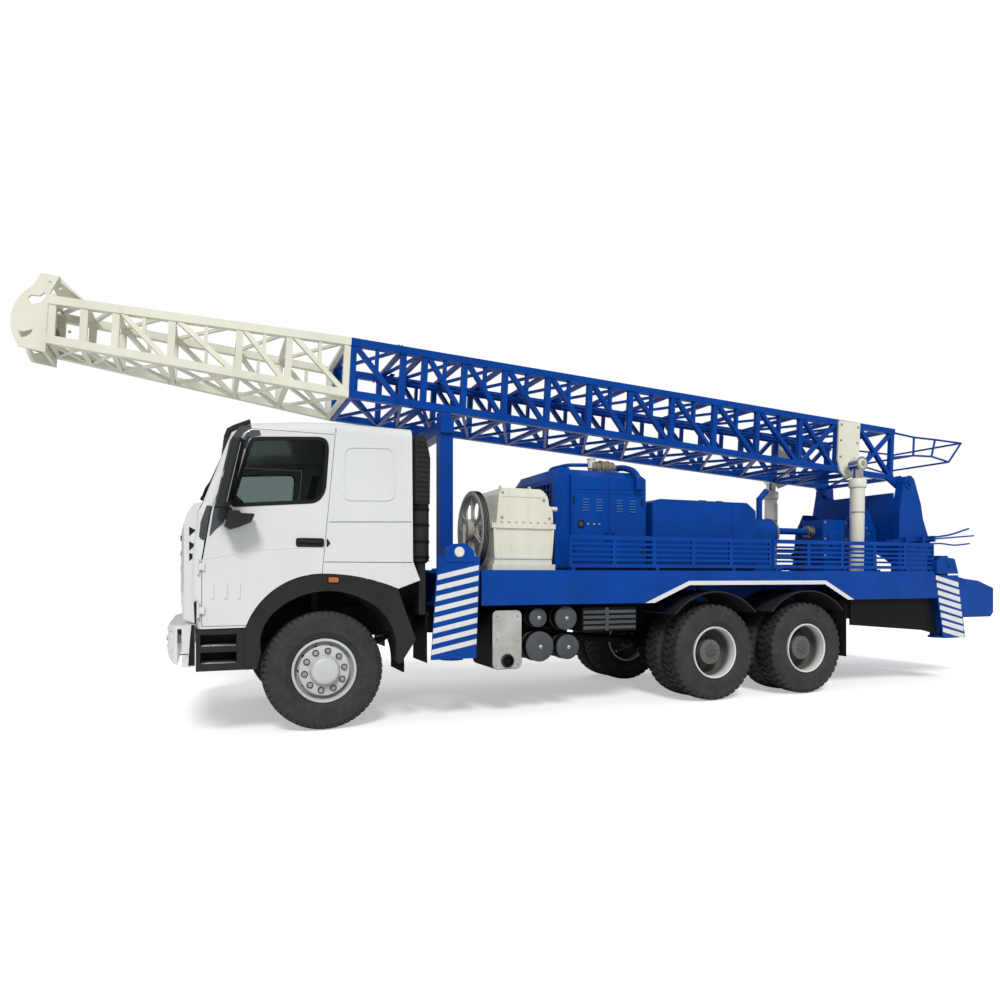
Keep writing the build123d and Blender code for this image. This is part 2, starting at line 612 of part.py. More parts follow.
def air_intake():
    """The dark intake stack and its canister behind the cab."""
    stack = side_prism([(835, 2100), (830, 2745), (930, 2750), (962, 2643), (990, 2521),
                        (985, 2100)], (-1200, -960))
    upright_edges = stack.edges().filter_by(Axis.Z, tolerance=5)
    stack = fillet([e for e in upright_edges if e.center().X < 860 or e.center().Z < 2400], 24)
    canister = Pos(915, -1080, 1830) * Cylinder(86, 560)
    foot = block((890, 955), (-1130, -RAIL_OUTER_Y), (1040, 1560))
    return joined([stack, canister, foot])


# Deck

def deck():
    """The deck: side plates with the wheel arch, floor, cross beams and sub-frame."""
    side = [(DECK_FRONT_X, DECK_SIDE_BOTTOM_Z), (DECK_FRONT_X, DECK_TOP_Z),
            (7820, DECK_TOP_Z), (7880, DECK_SIDE_BOTTOM_Z), (6300, DECK_SIDE_BOTTOM_Z),
            (5930, ARCH_TOP_Z), (3950, ARCH_TOP_Z), (3490, DECK_SIDE_BOTTOM_Z)]
    skirt = side_prism(side, (-DECK_HALF_WIDTH, -DECK_HALF_WIDTH + 12))
    floor = block((960, DECK_REAR_X), (-DECK_HALF_WIDTH + 12, DECK_HALF_WIDTH - 12),
                  (DECK_TOP_Z - DECK_PLATE, DECK_TOP_Z))
    for ends in ((900, DECK_FRONT_X), (7830, 8300)):
        corner = block(ends, (-DECK_HALF_WIDTH - 50, -JACK_Y + 200), (1400, 1500))
        floor = floor - corner - mirrored(corner)
    sub = block((960, DECK_REAR_X), (-RAIL_OUTER_Y, -RAIL_OUTER_Y + 70),
                (RAIL_TOP_Z, DECK_TOP_Z - DECK_PLATE))
    beams = [block((x - 40, x + 40), (-DECK_HALF_WIDTH + 12, DECK_HALF_WIDTH - 12),
                   (1345, DECK_TOP_Z - DECK_PLATE))
             for x in (1600, 2500, 3400, 4325, 5675, 6600, 7300, 7740)]
    reach = CYLINDER_RADIUS + 22
    slot = block((6830, 7190), (-CYLINDER_Y - reach, -CYLINDER_Y + reach), (1400, 1500))
    floor = floor - slot - mirrored(slot)
    bracket = block((6880, 7030), (-900, -RAIL_OUTER_Y), (1130, 1190))
    for y in (-CYLINDER_Y - 105, -CYLINDER_Y + 85):
        bracket += block((CYLINDER_FOOT_X - 60, CYLINDER_FOOT_X + 60), (y, y + 20), (1190, 1360))
    bracket += bar((CYLINDER_FOOT_X, -CYLINDER_Y - 105, CYLINDER_FOOT_Z),
                   (CYLINDER_FOOT_X, -CYLINDER_Y + 105, CYLINDER_FOOT_Z), 30)
    return joined([floor, skirt, mirrored(skirt), sub, mirrored(sub), bracket,
                   mirrored(bracket)] + beams)


def cylinder_axis(distance):
    """A point on the left mast cylinder's axis, that far above its foot pin."""
    run = Vector(CYLINDER_EYE_X - CYLINDER_FOOT_X, 0, CYLINDER_EYE_Z - CYLINDER_FOOT_Z)
    place = Vector(CYLINDER_FOOT_X, -CYLINDER_Y, CYLINDER_FOOT_Z) + run.normalized() * distance
    return tuple(place)


def cylinder_barrel():
    """The left mast cylinder's barrel with its foot eye and top collar."""
    barrel = bar(cylinder_axis(125), cylinder_axis(BARREL_LENGTH), CYLINDER_RADIUS)
    collar = bar(cylinder_axis(BARREL_LENGTH - 110), cylinder_axis(BARREL_LENGTH),
                 CYLINDER_RADIUS + 12)
    neck = bar(cylinder_axis(0), cylinder_axis(140), 70)
    eye = turned([(-80, 0), (80, 0), (80, 85), (-80, 85)], cylinder_axis(0))
    pin_hole = turned([(-90, 0), (90, 0), (90, 30.5), (-90, 30.5)], cylinder_axis(0))
    bore = bar(cylinder_axis(150), cylinder_axis(BARREL_LENGTH + 20), ROD_RADIUS + 1)
    return joined([barrel, collar, neck, eye]) - pin_hole - bore


def cylinder_rod():
    """The left mast cylinder's rod with the eye and the pin stub at its top."""
    rod = bar(cylinder_axis(165), cylinder_axis(CYLINDER_CLOSED - 60), ROD_RADIUS)
    head = bar(cylinder_axis(BARREL_LENGTH + 10), cylinder_axis(CYLINDER_CLOSED - 30),
               ROD_RADIUS + 20)
    eye = turned([(-70, 0), (70, 0), (70, 95), (-70, 95)], cylinder_axis(CYLINDER_CLOSED))
    reach = CYLINDER_Y - MAST_HALF_WIDTH - 30
    stub = turned([(-85, 0), (reach, 0), (reach, 42), (-85, 42)],
                  cylinder_axis(CYLINDER_CLOSED))
    return rod + head + eye + stub


def jack_housings():
    """The outer tubes of four jacks, each behind a slanted panel and tied to the deck."""
    solids = []
    for x, panel in JACK_PANELS.items():
        half = JACK_TUBE / 2
        tube = block((x - half, x + half), (-JACK_Y - half, -JACK_Y + half), (660, 1680))
        bore = JACK_LEG / 2 + 1
        tube -= block((x - bore, x + bore), (-JACK_Y - bore, -JACK_Y + bore), (600, 1660))
        front = panel[0][0]
        plate = side_prism(panel, (-DECK_HALF_WIDTH - 2, -DECK_HALF_WIDTH + 12))
        web = block((x - half, x + half), (-DECK_HALF_WIDTH + 12, -JACK_Y - half),
                    (700, 1380))
        tie = block((x - 60, x + 60), (-JACK_Y + half, -RAIL_OUTER_Y), (1140, 1340))
        solids += both(joined([tube, plate, web, tie]))
    return solids


def jack_leg(x):
    """The left jack's inner leg and round foot at x."""
    half = JACK_LEG / 2
    leg = block((x - half, x + half), (-JACK_Y - half, -JACK_Y + half), (JACK_FOOT_Z, 1600))
    foot = Pos(x, -JACK_Y, JACK_FOOT_Z - 12) * Cylinder(115, 25)
    return leg + foot


def mast_rest():
    """The portal behind the cab that carries the lowered mast."""
    post = block((1250, 1390), (-670, -530), (DECK_TOP_Z, 2900))
    beam_top = block((1250, 1390), (-700, 700), (2900, 3030))
    pad = block((1255, 1385), (-600, -524), (3030, 3126))
    base = block((1210, 1430), (-710, -490), (DECK_TOP_Z, DECK_TOP_Z + 20))
    pieces = [post, pad, base]
    return joined([beam_top] + pieces + [mirrored(p) for p in pieces])


def slat_rails():
    """The slatted guard rails on both sides of the deck."""
    panels = [2480, 3010, 3510, 4030, 4550, 5130, 5170, 5710, 6250, 6790, 7330, 7860]
    low, high = 1500, 1840
    outer = -DECK_HALF_WIDTH + 35
    rail = block((panels[0], panels[-1]), (outer, outer + 30), (low, high))
    for left, right in zip(panels, panels[1:]):
        if right - left < 100:
            rail -= block((left + 12, right - 12), (outer - 15, outer + 45), (low - 5, high + 5))
            continue
        for index in range(5):
            z = low + 38 + index * 56
            rail -= block((left + 22, right - 22), (outer - 15, outer + 45), (z, z + 32))
    feet = [block((x + 22, x + 62), (outer, outer + 30), (DECK_TOP_Z, low))
            for x in (2480, 3510, 4550, 5170, 6250, 7330, 7770)]
    return both(joined([rail] + feet))


# Deck machinery

def mud_pump():
    """The mud pump: split crankcase with a flanged joint and a domed upper half."""
    lower = side_prism([(1700, 1530), (2350, 1530), (2350, 1580), (2376, 1900),
                        (1690, 1900), (1720, 1580), (1700, 1580)], (-1050, -450))
    flange = block((1670, 2386), (-1070, -430), (1900, 1950))
    dome = [Line((1730, 0, 1950), (1760, 0, 2250)), Line((1760, 0, 2250), (1795, 0, 2312)),
            Line((1795, 0, 2312), (2215, 0, 2312)),
            ThreePointArc((2215, 0, 2312), (2282, 0, 2270), (2318, 0, 2160)),
            Line((2318, 0, 2160), (2366, 0, 2080)), Line((2366, 0, 2080), (2372, 0, 1950)),
            Line((2372, 0, 1950), (1730, 0, 1950))]
    upper = side_shape(dome, (-1040, -460))
    stub = bar((2300, -960, 2120), (2450, -960, 2120), 24)
    skid = block((1680, 2386), (-1060, -440), (DECK_TOP_Z, 1530))
    valve_box = block((1760, 2340), (-455, 0), (DECK_TOP_Z, 1850))
    outlet = bar((2070, -60, 1700), (2070, 110, 1700), 70)
    face = bar((2070, 80, 1700), (2070, 110, 1700), 120)
    pump = joined([lower, flange, upper, stub, skid, valve_box, outlet, face])
    pump -= bar((2070, -40, 1700), (2070, 130, 1700), 38)
    for index in range(4):
        angle = math.radians(45 + 90 * index)
        x = 2070 + 95 * math.cos(angle)
        z = 1700 + 95 * math.sin(angle)
        pump -= bar((x, 60, z), (x, 130, z), 9)
    return pump


def pump_drive():
    """The pump's belt sheaves, shaft and the dark guard over them."""
    y, z, rim = PULLEY_Y, PULLEY_Z, PULLEY_RADIUS
    shaft = bar((1434, y, z), (1670 - SEAT_GAP, y, z), 35)
    wheel = turned([(1545, rim), (1615, rim), (1615, rim - 45), (1590, rim - 60), (1590, 90),
                    (1620, 90), (1620, 0), (1540, 0), (1540, 90), (1570, 90),
                    (1570, rim - 60), (1545, rim - 45)], (0, 0, 0))
    big = Pos(0, y, z) * (Rot(0, 0, -90) * wheel)
    middle, hole = (rim + 30) / 2, rim / 2 - 110
    for index in range(6):
        angle = math.radians(60 * index)
        place = (y + middle * math.cos(angle), z + middle * math.sin(angle))
        big -= bar((1500, *place), (1660, *place), hole)
    small = bar((1490, y, z), (1541, y, z), 110)
    foot = block((1440, 1468), (y - 80, y + 60), (DECK_TOP_Z, z + 50))
    return joined([shaft, big, small, foot])


def engine_canopy():
    """The deck engine's canopy with a cut-back top edge and door joints."""
    y_near, y_far = -900, 250
    body = front_prism([(y_near, 1500), (y_near, 2500), (y_near + 160, 2590),
                        (y_far - 160, 2590), (y_far, 2500), (y_far, 1500)], (2660, 3610))
    skid = block((2640, 3650), (-860, 210), (DECK_TOP_Z, 1500))
    joint = block((3128, 3136), (y_near - 5, y_near + 8), (1530, 2500))
    body -= joint
    cowl = side_prism([(2480, 1500), (2480, 2480), (2560, 2590), (2660, 2590),
                       (2660, 1500)], (-860, 210))
    cowl -= block((2400, 2505), (-780, 130), (1600, 2420))
    skid_front = block((2500, 2640), (-840, 190), (DECK_TOP_Z, 1500))
    return joined([body, skid, cowl, skid_front])


def engine_exhaust():
    """The turbocharger, manifold and bent pipe on top of the canopy."""
    base = block((3180, 3380), (-600, -440), (2590, 2612))
    drum = bar((3110, -520, 2668), (3400, -520, 2668), 62)
    scroll = bar((3240, -520, 2668), (3320, -520, 2668), 76)
    neck = bar((3120, -520, 2590), (3120, -520, 2760), 38)
    bend = bar((3390, -520, 2668), (3460, -520, 2668), 42)
    drop = bar((3440, -520, 2700), (3440, -520, 2590), 36)
    return joined([base, drum, scroll, neck, bend, drop])


def diesel_tank():
    """The deck fuel tank with its bevelled near end."""
    body = side_prism([(3700, 1500), (3700, 2250), (3800, 2290), (5050, 2290),
                       (5180, 2200), (5220, 1500)], (-900, 200))
    skid = block((3720, 5200), (-860, 160), (DECK_TOP_Z, 1500))
    caps = [Pos(x, -500, 2305) * Cylinder(60, 30) for x in (4700, 4960)]
    return joined([body, skid] + caps)


def transfer_gearbox():
    """The transfer gearbox with its drive flange, stack and the shaft to the winch."""
    housing = bar((5330, -450, 1960), (5780, -450, 1960), 190)
    case = block((5400, 5720), (-640, -60), (1530, 1960))
    skid = block((5340, 5800), (-680, -20), (DECK_TOP_Z, 1530))
    stack = bar((5640, -450, 2100), (5640, -450, 2420), 38)
    elbow = bar((5640, -450, 2400), (5760, -450, 2520), 38)
    ball = Pos(5640, -450, 2405) * Sphere(38)
    shaft = bar((5770, -450, 2000), (6549.7, -450, 2000), 42)
    return joined([housing, case, skid, stack, ball, elbow, shaft])


def winch_frame():
    """Side plates, base and gear case that carry the winch drum."""
    cheek = side_prism([(7100, 1500), (7160, 2050), (WINCH_X - 120, 2320),
                        (WINCH_X + 120, 2320), (7680, 2050), (7700, 1500)], (-480, -455))
    cheek -= bar((WINCH_X, -500, WINCH_Z), (WINCH_X, -400, WINCH_Z), 60.5)
    base = block((7080, 7720), (-520, 520), (DECK_TOP_Z, 1500))
    case = block((6550, 7000), (-620, -260), (1640, 2160))
    pedestal = block((6600, 6950), (-600, -280), (DECK_TOP_Z, 1640))
    tray = block((6950, 7100), (-520, -300), (DECK_TOP_Z, 1500))
    return joined([base, cheek, mirrored(cheek), pedestal, case, tray])


def winch_drum():
    """The rope drum with its flanges, rope layer and shaft."""
    core = bar((WINCH_X, -400, WINCH_Z), (WINCH_X, 400, WINCH_Z), DRUM_CORE)
    rims = [bar((WINCH_X, y, WINCH_Z), (WINCH_X, y + 24, WINCH_Z), DRUM_FLANGE)
            for y in (-424, 400)]
    rope = bar((WINCH_X, -400, WINCH_Z), (WINCH_X, 400, WINCH_Z), DRUM_CORE + 60)
    shaft = bar((WINCH_X, -540, WINCH_Z), (WINCH_X, 540, WINCH_Z), 60)
    return joined([core, rope, shaft] + rims)


def rear_frame():
    """The A-frame that carries the mast's hinge, with its arched cross plate."""
    foot = 1400 + SEAT_GAP
    leg = side_prism([(7760, DECK_TOP_Z), (7780, 2300), (7870, 2720), (7910, 2780),
                      (8000, 2790), (8060, 2740), (8190, 2400), (8230, 2200),
                      (8400, 1800), (8460, 1500), (8460, foot), (8271, foot),
                      (8271, DECK_TOP_Z)], (-770, -650))
    leg -= bar((PIVOT_X, -800, PIVOT_Z), (PIVOT_X, -600, PIVOT_Z), PIVOT_RADIUS + 0.5)
    arch = [Line((7780, -650, 2560), (7780, 650, 2560)), Line((7780, 650, 2560), (7780, 650, 1560)),
            ThreePointArc((7780, 650, 1560), (7780, 0, 1800), (7780, -650, 1560)),
            Line((7780, -650, 1560), (7780, -650, 2560))]
    web = extrude(make_face(arch), amount=40, dir=(1, 0, 0))
    return joined([leg, mirrored(leg), web])


def rear_platform():
    """The rotary table's housing and platform behind the deck."""
    start = DECK_REAR_X + SEAT_GAP
    body = side_prism([(start, 1400), (8560, 1400), (8700, 1372), (8970, 1345), (9290, 1240),
                       (9290, 900), (9230, 840), (8480, 840), (8420, 1060),
                       (start, 1060)], (-640, 640))
    wing = side_prism([(8560, 1400), (8700, 1372), (8970, 1345), (9290, 1240), (9290, 900),
                       (9230, 840), (8480, 840), (8440, 1000), (8440, 1400)],
                      (-1040, -640))
    table = Pos(TABLE_X, 0, 1310) * Cylinder(250, 120)
    body = joined([body, wing, mirrored(wing), table])
    return body - Pos(TABLE_X, 0, 1100) * Cylinder(TABLE_BORE_RADIUS, 800)


def air_tanks():
    """Four air tanks seen end on, carried on a rack from the left rail."""
    tanks = []
    for x, z, radius in ((2131, 985, 92), (2450, 975, 120), (2150, 690, 150), (2470, 675, 124)):
        tanks.append(bar((x, -DECK_HALF_WIDTH + 70, z), (x, -500, z), radius))
    rack = block((2050, 2500), (-500, -RAIL_OUTER_Y), (560, 1090))
    return joined([rack] + tanks)


def side_boxes():
    """The silencer box and the battery box on the left, and a spare box on the right."""
    outer = -DECK_HALF_WIDTH + 50
    silencer = block((1620, 1940), (outer, -640), (480, 1070))
    silencer = fillet(silencer.edges().filter_by(Axis.Y), 60)
    outlet_z = 565
    hanger = block((1700, 1860), (-640, -RAIL_OUTER_Y), (860, 1040))
    outlet = bar((1780, outer - 40, outlet_z), (1780, outer + 50, outlet_z), 60)
    silencer = joined([silencer, hanger, outlet])
    silencer -= bar((1780, outer - 100, outlet_z), (1780, outer + 20, outlet_z), 48)
    battery = block((2630, 3290), (outer, -RAIL_OUTER_Y), (830, 1080))
    store = block((2300, 3300), (RAIL_OUTER_Y, -outer - 10), (620, 1080))
    store = fillet(store.edges().filter_by(Axis.X), 40)
    return [silencer, battery, store]


def rear_skirt():
    """The dark boxed skirts below the deck between the last wheels and the rear jacks."""
    skirt = side_prism([(6420, 1110), (7860, 1110), (7960, 640), (7700, 700), (6420, 800)],
                       (-DECK_HALF_WIDTH + 70, -DECK_HALF_WIDTH + 90))
    top = block((6420, 7800), (-DECK_HALF_WIDTH + 70, -RAIL_OUTER_Y), (1105, 1119))
    return both(skirt + top)


# Mast

def mast_place(shape):
    """Moves a piece drawn along -X with its hinge at the origin to its lowered place."""
    return Pos(PIVOT_X, 0, PIVOT_Z) * Rot(0, MAST_TILT, 0) * shape


def mast_section(station):
    """Half width, bottom and top of the mast's outline at a station."""
    if station <= JOINT_STATION:
        share = (station - MAST_FOOT_STATION) / (JOINT_STATION - MAST_FOOT_STATION)
        half = FOOT_HALF_DEPTH + (JOINT_HALF_DEPTH - FOOT_HALF_DEPTH) * share
        return MAST_HALF_WIDTH, MAST_MIDDLE - half, MAST_MIDDLE + half
    share = (station - JOINT_STATION) / (CROWN_STATION - JOINT_STATION)
    width = MAST_HALF_WIDTH + (CROWN_HALF_WIDTH - MAST_HALF_WIDTH) * share
    low = MAST_MIDDLE - JOINT_HALF_DEPTH
    high = MAST_MIDDLE + JOINT_HALF_DEPTH
    return width, low + (CROWN_BOTTOM - low) * share, high + (CROWN_TOP - high) * share


def side_point(station, height_share):
    """A point on the middle of the left side frame: share 0 is the bottom chord."""
    width, low, high = mast_section(station)
    inset = MAST_CHORD / 2
    z = low + inset + (high - low - MAST_CHORD) * height_share
    return (-station, -width + inset, z)


def stations(first, bays):
    """Station of every post, with the bracing of the bay that starts there."""
    marks = [first]
    for length, bracing in bays:
        marks.append(marks[-1] + length)
    return marks


def member(start, end, deep):
    """One brace of a side frame, a little thinner than the chords."""
    return beam(start, end, MAST_CHORD - 20, deep)


def mast_side(first, bays):
    """The left side frame: two chords, posts and one brace in each bay."""
    marks = stations(first, bays)
    ends = (marks[0], marks[-1])
    frame = []
    for share in (0, 1):
        start, end = side_point(ends[0], share), side_point(ends[1], share)
        reach = 10 * (Vector(*end) - Vector(*start)).normalized()
        frame.append(beam(tuple(Vector(*start) - reach), tuple(Vector(*end) + reach),
                          MAST_CHORD, MAST_CHORD))
    for mark in marks:
        inner = min(max(mark, marks[0] + POST / 2), marks[-1] - POST / 2)
        frame.append(member(side_point(inner, 0), side_point(inner, 1), POST))
    for (length, bracing), near, far in zip(bays, marks, marks[1:]):
        if bracing in ("slash", "cross"):
            frame.append(member(side_point(near + 20, 0), side_point(far - 20, 1), BRACE))
        if bracing == "cross":
            frame.append(member(side_point(near + 20, 1), side_point(far - 20, 0), BRACE))
        if bracing == "slash":
            middle = (near + far) / 2
            frame.append(member(side_point(middle, 0.5), side_point(middle, 1), SUB_POST))
    limits = block((-ends[1], -ends[0]), (-MAST_HALF_WIDTH - 10, 0), (-100, 900))
    return joined(frame) & limits


def mast_face(first, bays, share):
    """Cross members and zigzag of the bottom (share 0) or top (share 1) face."""
    marks = stations(first, bays)
    ends = (marks[0], marks[-1])
    outwards = (MAST_CHORD - FACE_POST) / 2 * (1 if share else -1)

    def edge(station, side):
        x, y, z = side_point(station, share)
        return (x, -side * y, z + outwards)

    pieces = []
    for mark in marks:
        inner = min(max(mark, ends[0] + 30), ends[1] - 30)
        pieces.append(face_member(edge(inner, -1), edge(inner, 1), FACE_POST))
    for near, far in zip(marks, marks[1:]):
        pieces.append(face_member(edge(near, -1), edge(far, 1), FACE_BRACE))
        if share == 0:
            pieces.append(face_member(edge(near, 1), edge(far, -1), FACE_BRACE))
    rim = []
    for station in ends:
        width = mast_section(station)[0]
        taper = math.atan2(abs(mast_section(ends[0])[0] - mast_section(ends[1])[0]),
                           ends[1] - ends[0])
        rim.append((station, width - MAST_CHORD / 2 - MAST_CHORD / 2 / math.cos(taper) - SEAT_GAP))
    (s0, w0), (s1, w1) = rim
    inside = plan_prism([(-s0, -w0), (-s1, -w1), (-s1, w1), (-s0, w0)], (-100, 900))
    return joined(pieces) & inside


def face_member(start, end, size):
    """A flat member of a mast face between the middles of two chords."""
    run = Vector(*end) - Vector(*start)
    level = (Align.CENTER, Align.CENTER, Align.MIN)
    plane = Plane(origin=start, x_dir=(0, 0, 1), z_dir=run)
    return plane * Box(size, size, run.length, align=level)


def crown_block():
    """Two round-nosed plates with sheave gaps, sheaves, pin and a top cover."""
    nose = []
    for angle in (50, 0, -33):
        turn = math.radians(angle)
        nose.append((-NOSE_STATION - NOSE_RADIUS * math.cos(turn), 0,
                     NOSE_HEIGHT + NOSE_RADIUS * math.sin(turn)))
    rear = -CROWN_STATION - SEAT_GAP
    brow, chin = (-10400, 0, 895), (rear, 0, 190)
    back = [(rear, 0, CROWN_TOP), (-10255, 0, 895)]
    outline = [ThreePointArc(*nose), Line(nose[2], chin), Line(chin, back[0]),
               Line(back[0], back[1]), Line(back[1], brow), Line(brow, nose[0])]
    cheek = side_shape(outline, (-CROWN_HALF_WIDTH, -CROWN_HALF_WIDTH + 30))
    cheek -= side_prism([(-10490, 655), (-10465, 685), (-10400, 690), (-10360, 730),
                         (-10352, 688), (-10395, 625), (-10455, 603)], (-400, 0))
    cheek -= side_prism([(-10548, 345), (-10500, 352), (-10436, 381), (-10448, 342),
                         (-10482, 305), (-10520, 290)], (-400, 0))
    tie = block((rear - 30, rear), (-CROWN_HALF_WIDTH, CROWN_HALF_WIDTH), (200, 690))
    cover = side_prism([(-10350, 895), (-10250, 890), (-10060, 735), (-10060, 718),
                        (-10260, 862), (-10350, 865)],
                       (-CROWN_HALF_WIDTH + 30, CROWN_HALF_WIDTH - 30))
    x = -SHEAVE_STATION
    pin = bar((x, -CROWN_HALF_WIDTH, NOSE_HEIGHT), (x, CROWN_HALF_WIDTH, NOSE_HEIGHT), 40)
    sheaves = [bar((x, y - 25, NOSE_HEIGHT), (x, y + 25, NOSE_HEIGHT), SHEAVE_RADIUS)
               for y in (-120, 0, 120)]
    return mast_place(joined([cheek, mirrored(cheek), tie, cover, pin] + sheaves))


def cylinder_plates():
    """The cream plates on the mast's sides that the cylinders push on."""
    outer = -MAST_HALF_WIDTH - SEAT_GAP
    plate = side_prism([(-1160, 735), (-780, 742), (-780, 200), (-840, 40), (-1000, -30),
                        (-1110, 60), (-1160, 200)], (outer - 24, outer))
    return [mast_place(plate), mast_place(mirrored(plate))]


def hinge_lugs():
    """The lugs below the mast's foot and the hinge pins they carry."""
    lug = side_prism([(-260, 40), (0, 110), (80, 60), (90, -60), (0, -90), (-80, -60)],
                     (-640, -MAST_HALF_WIDTH - SEAT_GAP))
    pin = bar((0, -800, 0), (0, -620, 0), PIVOT_RADIUS)
    return lug + pin


def mast_tail():
    """The light rod frame behind the mast's foot."""
    tilt = math.radians(MAST_TILT)
    tip_z = 735
    tip = (TAIL_REAR_X - PIVOT_X - TAIL_ROD - tip_z * math.sin(tilt)) / math.cos(tilt)
    root = -MAST_FOOT_STATION - 20
    y = MAST_HALF_WIDTH - 40
    knots = [(root, 715), (330, 700), (760, 720), (tip, tip_z), (330, 440), (700, 470),
             (1060, 430), (root, 360)]
    links = [(0, 1), (1, 2), (2, 3), (1, 4), (4, 5), (2, 5), (5, 6), (3, 6), (4, 7)]
    rods = []
    for start, end in links:
        a, b = knots[start], knots[end]
        rods.append(bar((a[0], -y, a[1]), (b[0], -y, b[1]), TAIL_ROD))
    for place in (3, 4, 6):
        x, z = knots[place]
        rods.append(bar((x, -y, z), (x, 0, z), TAIL_ROD))
        rods.append(Pos(x, -y, z) * Sphere(TAIL_ROD))
    side = block((-MAST_FOOT_STATION + SEAT_GAP, 1600), (-MAST_HALF_WIDTH, 0), (0, 900))
    half = joined(rods) & side
    return mast_place(joined([half, mirrored(half)]))


def mast_part(first, bays):
    """One length of the mast: both side frames and the bottom and top lacing."""
    sides = both(mast_place(mast_side(first, bays)))
    return sides + [mast_place(mast_face(first, bays, share)) for share in (0, 1)]


def lower_mast():
    """The blue length of the mast, from its foot to the joint."""
    return mast_part(MAST_FOOT_STATION, MAST_BAYS)


def upper_mast():
    """The cream length of the mast, from the joint to the crown."""
    return mast_part(JOINT_STATION + SEAT_GAP, CROWN_BAYS)


def wheel_pieces():
    """Name and solids of every tyre and rim of the left side."""
    pieces = {"tyre_front": [tyre(-FRONT_WHEEL_Y, 0)],
              "rim_front": [Pos(0, -FRONT_WHEEL_Y, AXLE_Z) * front_rim()]}
    for name, x in zip(("middle", "rear"), REAR_AXLES_X):
        pieces["tyres_" + name] = [tyre(-REAR_WHEEL_Y + offset, x)
                                   for offset in (-TWIN_SPACING / 2, TWIN_SPACING / 2)]
        pieces["rims_" + name] = [Pos(x, -REAR_WHEEL_Y, AXLE_Z) * twin_rim()]
    return pieces


os.makedirs("parts", exist_ok=True)

for name, solids in wheel_pieces().items():
    save(name + "_left", solids)
    save(name + "_right", [mirrored(solid) for solid in solids])

PAIRS = {
    "knuckle": knuckle(),
    "door": door(),
    "door_glass": door_glass(),
    "door_mirror": door_mirror(),
    "jack_front": jack_leg(FRONT_JACK_X),
    "jack_rear": jack_leg(REAR_JACK_X),
}
for name, shape in PAIRS.items():
    save(name + "_left", shape)
    save(name + "_right", mirrored(shape))

NODES = {
    "chassis_frame": chassis_frame(),
    "powertrain": powertrain(),
    "front_axle": front_axle(),
    "rear_axles": rear_axles(),
    "tie_rod": tie_rod(),
    "cab_shell": cab_shell(),
    "cab_interior": cab_interior(),
    "windscreen": cab_glass(),
    "front_panel": front_panel(),
    "grille": grille(),
    "bumper": bumper(),
    "lamps": lamps(),
    "fenders": fenders(),
    "cab_trim": [sun_visor(), air_intake()],
    "deck": deck(),
    "jack_housings": jack_housings(),
    "mast_rest": mast_rest(),
    "slat_rails": slat_rails(),
    "mud_pump": mud_pump(),
    "pump_drive": pump_drive(),
    "engine_canopy": engine_canopy(),
    "engine_exhaust": engine_exhaust(),
    "diesel_tank": diesel_tank(),
    "transfer_gearbox": transfer_gearbox(),
    "winch_frame": winch_frame(),
    "winch_drum": winch_drum(),
    "rear_frame": rear_frame(),
    "rear_platform": rear_platform(),
    "under_deck_boxes": [air_tanks()] + side_boxes() + rear_skirt(),
    "lower_mast": lower_mast() + both(mast_place(hinge_lugs())),
    "mast_tail": mast_tail(),
    "upper_mast": upper_mast(),
    "crown_block": crown_block(),
    "cylinder_plates": cylinder_plates(),
    "cylinder_barrels": both(cylinder_barrel()),
    "cylinder_rods": both(cylinder_rod()),
}
for name, shape in NODES.items():
    save(name, shape)
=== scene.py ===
import json
import math
import bmesh
import bpy
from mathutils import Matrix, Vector


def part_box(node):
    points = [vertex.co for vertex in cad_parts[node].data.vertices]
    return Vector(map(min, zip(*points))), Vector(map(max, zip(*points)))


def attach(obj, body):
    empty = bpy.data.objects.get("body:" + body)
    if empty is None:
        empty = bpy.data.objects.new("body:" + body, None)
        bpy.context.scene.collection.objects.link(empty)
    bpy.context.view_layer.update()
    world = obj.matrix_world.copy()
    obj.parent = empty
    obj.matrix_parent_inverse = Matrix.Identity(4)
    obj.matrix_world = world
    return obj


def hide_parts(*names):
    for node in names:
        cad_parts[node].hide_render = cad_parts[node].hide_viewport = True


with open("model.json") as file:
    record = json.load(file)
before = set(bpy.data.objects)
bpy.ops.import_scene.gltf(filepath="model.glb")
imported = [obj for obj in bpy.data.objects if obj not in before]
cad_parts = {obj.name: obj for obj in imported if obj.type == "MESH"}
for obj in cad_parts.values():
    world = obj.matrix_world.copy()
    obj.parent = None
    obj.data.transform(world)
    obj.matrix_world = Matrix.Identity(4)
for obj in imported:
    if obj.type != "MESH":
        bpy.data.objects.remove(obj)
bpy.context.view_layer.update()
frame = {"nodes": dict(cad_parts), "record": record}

# Places are the truck's own, in millimetres: x back from the front axle, y to its right
# and z up. The camera looks at its left side, where y is below zero.
FRONT_AXLE_TO_MIDDLE = -sum(corner[0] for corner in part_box("rim_front_left")) / 2
SIDES = {"left": -1, "right": 1}
WHEELS = {"front_wheel": (0, 1010), "middle_wheels": (4325, 915), "rear_wheels": (5675, 915)}
TWIN_OFFSET = 175
HUB_HEIGHT = 545
FRONT_HUB_FACE = 1122
TWIN_DISC, TWIN_HUB_END, TWIN_LIP = 927, 1139, 1209
CAB_FACE = 1247
SCREEN_LENGTH = 560
DECK_FACE = 1250
BATTERY_FACE = -1198
PUMP_FACE = -1040
WINDOW = [(-800, 2020), (-640, 2580), (-600, 2600), (-30, 2640), (5, 2590), (-25, 2170),
          (-90, 2080)]
SILENCER_BORE = (1780, -1206, 565)
PULLEY_CENTRE = (-760, 1890)
CANOPY_FACE = -900
TURBO_AXIS = (-520, 2668)
GEARBOX_AXIS = (-450, 1960)
